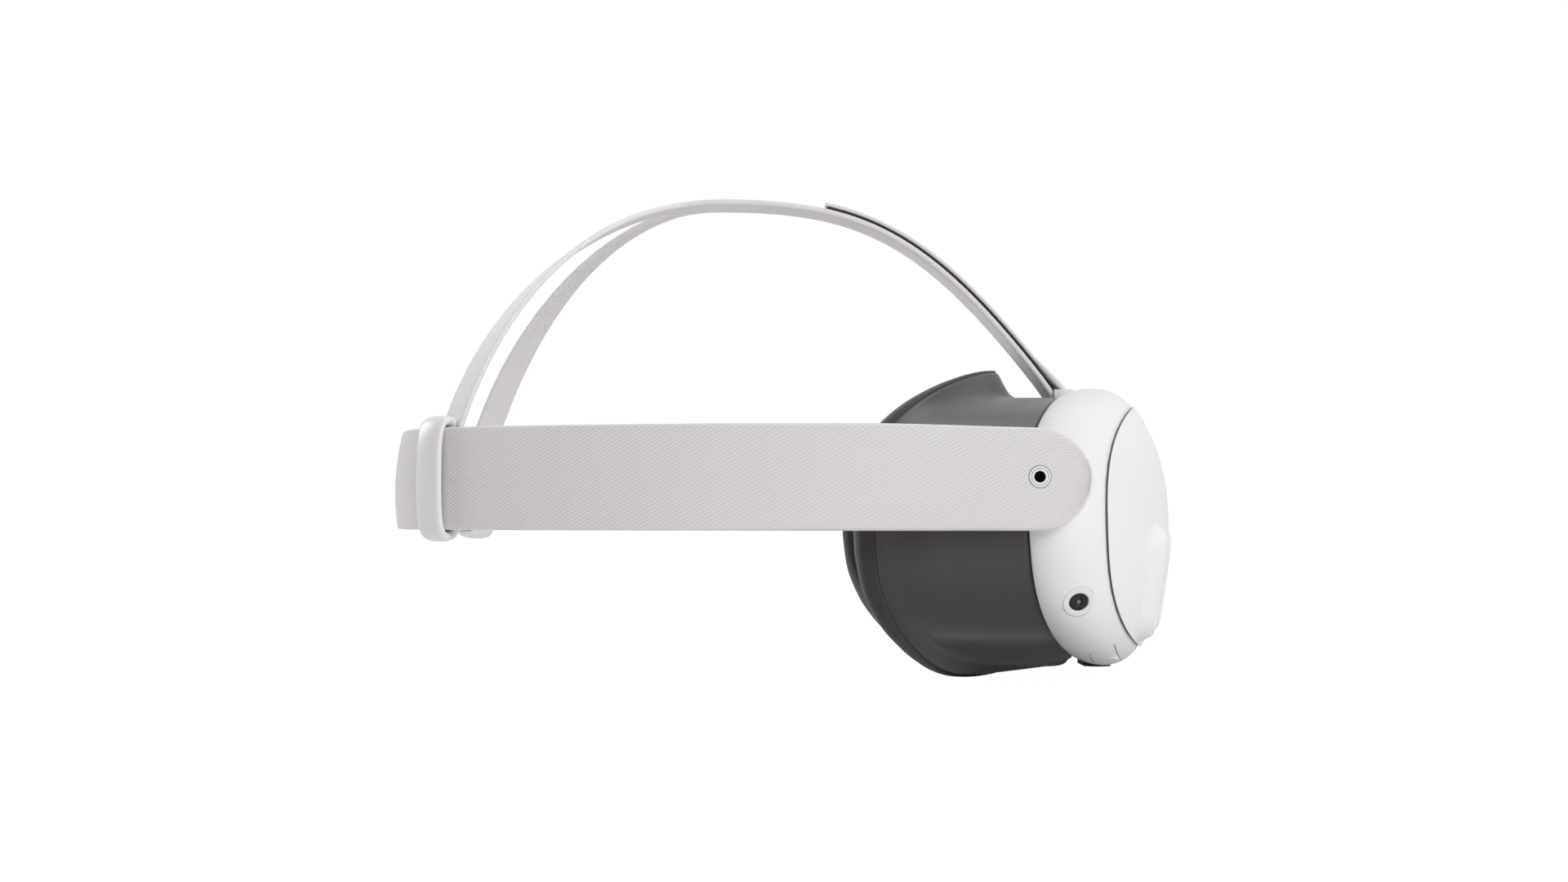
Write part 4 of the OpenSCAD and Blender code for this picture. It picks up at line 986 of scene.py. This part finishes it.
# ---- top strap ----
# One white woven strap. It comes over the crown, passes round the bar on the visor and folds
# back on itself, held by a dark hook-and-loop tape so that its length can be set.
top_w, top_t, tab_t, tape_t = 24 * mm, 1.8 * mm, 1.2 * mm, 0.9 * mm
loop_r = 1.65 * mm
crown = Vector((-22 * mm, cad_high.z - top_t / 2))
front_path = [Vector((bracket_x - loop_r - top_t / 2, bracket_z + 0.4 * mm)),
              Vector((bracket_x - 44 * mm, bracket_z + 55 * mm)), crown + Vector((48 * mm, 0)), crown]
slider_x = rear_c - slider_r * math.cos(slider_at)
slider_y = slider_r * math.sin(slider_at)
slider_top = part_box("slider_right")[1].z
foot = Vector((slider_x + 5 * mm, slider_top + 0.4 * mm))
rear_path = [crown, crown - Vector((34 * mm, 0)), foot + Vector((16 * mm, 45 * mm)), foot]
fork_t, tab_end, fold_step = 0.1, 0.72, 0.7 * mm


def on_path(p, t):
    u = 1 - t
    return p[0] * u ** 3 + 3 * p[1] * t * u * u + 3 * p[2] * t * t * u + p[3] * t ** 3


def way_along(p, t):
    u = 1 - t
    return ((p[1] - p[0]) * u * u + 2 * (p[2] - p[1]) * t * u + (p[3] - p[2]) * t * t).normalized()


def beside(p, t, off):
    d = way_along(p, t)
    return on_path(p, t) + off * Vector((d.y, -d.x))


def evened(points, step):
    """The same line with its points a fixed step apart."""
    out, left = [points[0]], step
    for a, b in zip(points, points[1:]):
        length = (b - a).length
        while length > 0 and left <= length:
            out.append(a + (b - a) * (left / length))
            left += step
        left -= length
    return out


tab_off = top_t / 2 + tape_t + tab_t / 2
tab_line = [beside(front_path, tab_end - 0.65 * k / 40, tab_off) for k in range(41)]
bar = Vector((bracket_x, bracket_z))
bar_line = []
for turn in range(10, -181, -19):
    a = math.radians(turn)
    bar_line.append(bar + 2.55 * mm * Vector((math.cos(a), math.sin(a))))
main_line = [on_path(front_path, 0.03 + 0.97 * k / 70) for k in range(71)]
main_line += [on_path(rear_path, fork_t * k / 8) for k in range(1, 9)]
fold = evened(tab_line + bar_line + main_line, fold_step)
for _ in range(5):
    fold = [fold[0]] + [(a + 2 * b + c) / 4 for a, b, c in zip(fold, fold[1:], fold[2:])] + [fold[-1]]
tab_count = len(evened(tab_line, fold_step))
strap_line = []
for i, p in enumerate(fold):
    a, b = fold[max(0, i - 1)], fold[min(len(fold) - 1, i + 1)]
    d = (b - a).normalized()
    k = max(0.0, min(1.0, (i - tab_count) / 12))
    strap_line.append((Vector((p.x, 0, p.y)), Vector((0, 1, 0)), Vector((d.y, 0, -d.x)), top_w / 2,
                       mixed(tab_t, top_t, k) / 2))
top_cloth = fabric("top_strap_weave", (0.89, 0.875, 0.885), 1.0 * mm, 0.8 * mm, 0.03 * mm, valley=0.94,
                   turn=30)
top_band = webbing("top_strap_band", strap_line, 0.55 * mm)
top_band.data.materials.append(top_cloth)
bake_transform(top_band)
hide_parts("top_strap", "top_strap_loop", "top_strap_tab")
tape_line = []
for k in range(121):
    t = 0.05 + 0.662 * k / 120
    p = beside(front_path, t, (top_t + tape_t) / 2)
    d = way_along(front_path, t)
    tape_line.append((Vector((p.x, 0, p.y)), Vector((0, 1, 0)), Vector((d.y, 0, -d.x)), top_w / 2 - 0.7 * mm,
                      tape_t / 2 - 0.02 * mm))
hook_cloth = fabric("hook_tape_pile", (0.05, 0.05, 0.052), 0.6 * mm, 0.6 * mm, 0.25 * mm, valley=0.5, turn=0)
hook_band = webbing("hook_tape_band", tape_line, 0.3 * mm)
hook_band.data.materials.append(hook_cloth)
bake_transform(hook_band)
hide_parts("hook_tape")


# ---- top strap branches ----
# Behind the crown the strap divides into two flat bands. Each turns on edge as it comes down
# the back of the head and is sewn to the top of its slider.
branch_w = 14 * mm
branch_turn = 60


def branch_ring(k, side):
    t = fork_t + (1 - fork_t) * k
    c, d = on_path(rear_path, t), way_along(rear_path, t)
    ease = k * k * (3 - 2 * k)
    start = top_w / 4 + 0.1 * mm
    y = -(start + (slider_y - 2 * mm - start) * math.sin(math.pi / 2 * k) ** 1.3)
    w = (top_w / 2 - 0.2 * mm) * (1 - ease) + branch_w * ease
    a = math.radians(90 - (90 - branch_turn) * ease)
    across = Vector((math.cos(a), -math.sin(a), 0))
    along = Vector((d.x, -0.5 * math.sin(math.pi * k), d.y)).normalized()
    lie = (across - along * across.dot(along)).normalized()
    up = lie.cross(along)
    flip = Vector((1, -side, 1))
    return (Vector((c.x, y, c.y)) * flip, lie * flip, up * flip, w / 2, top_t / 2)


for side, end in ((-1, "right"), (1, "left")):
    branch_line = [branch_ring(k / 110, side) for k in range(111)]
    last = branch_line[-1]
    down = (last[0] - branch_line[-2][0]).normalized()
    branch_line += [(last[0] + down * step * mm, *last[1:]) for step in (1.2, 2.4, 3.6)]
    first = branch_line[0]
    back = (first[0] - branch_line[1][0]).normalized()
    branch_line = [(first[0] + back * step * mm, *first[1:]) for step in (2.4, 1.2)] + branch_line
    branch = webbing("strap_branch_" + end, branch_line, 0.55 * mm)
    branch.data.materials.append(top_cloth)
    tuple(branch_line[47][0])
    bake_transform(branch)
    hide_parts("branch_" + end)
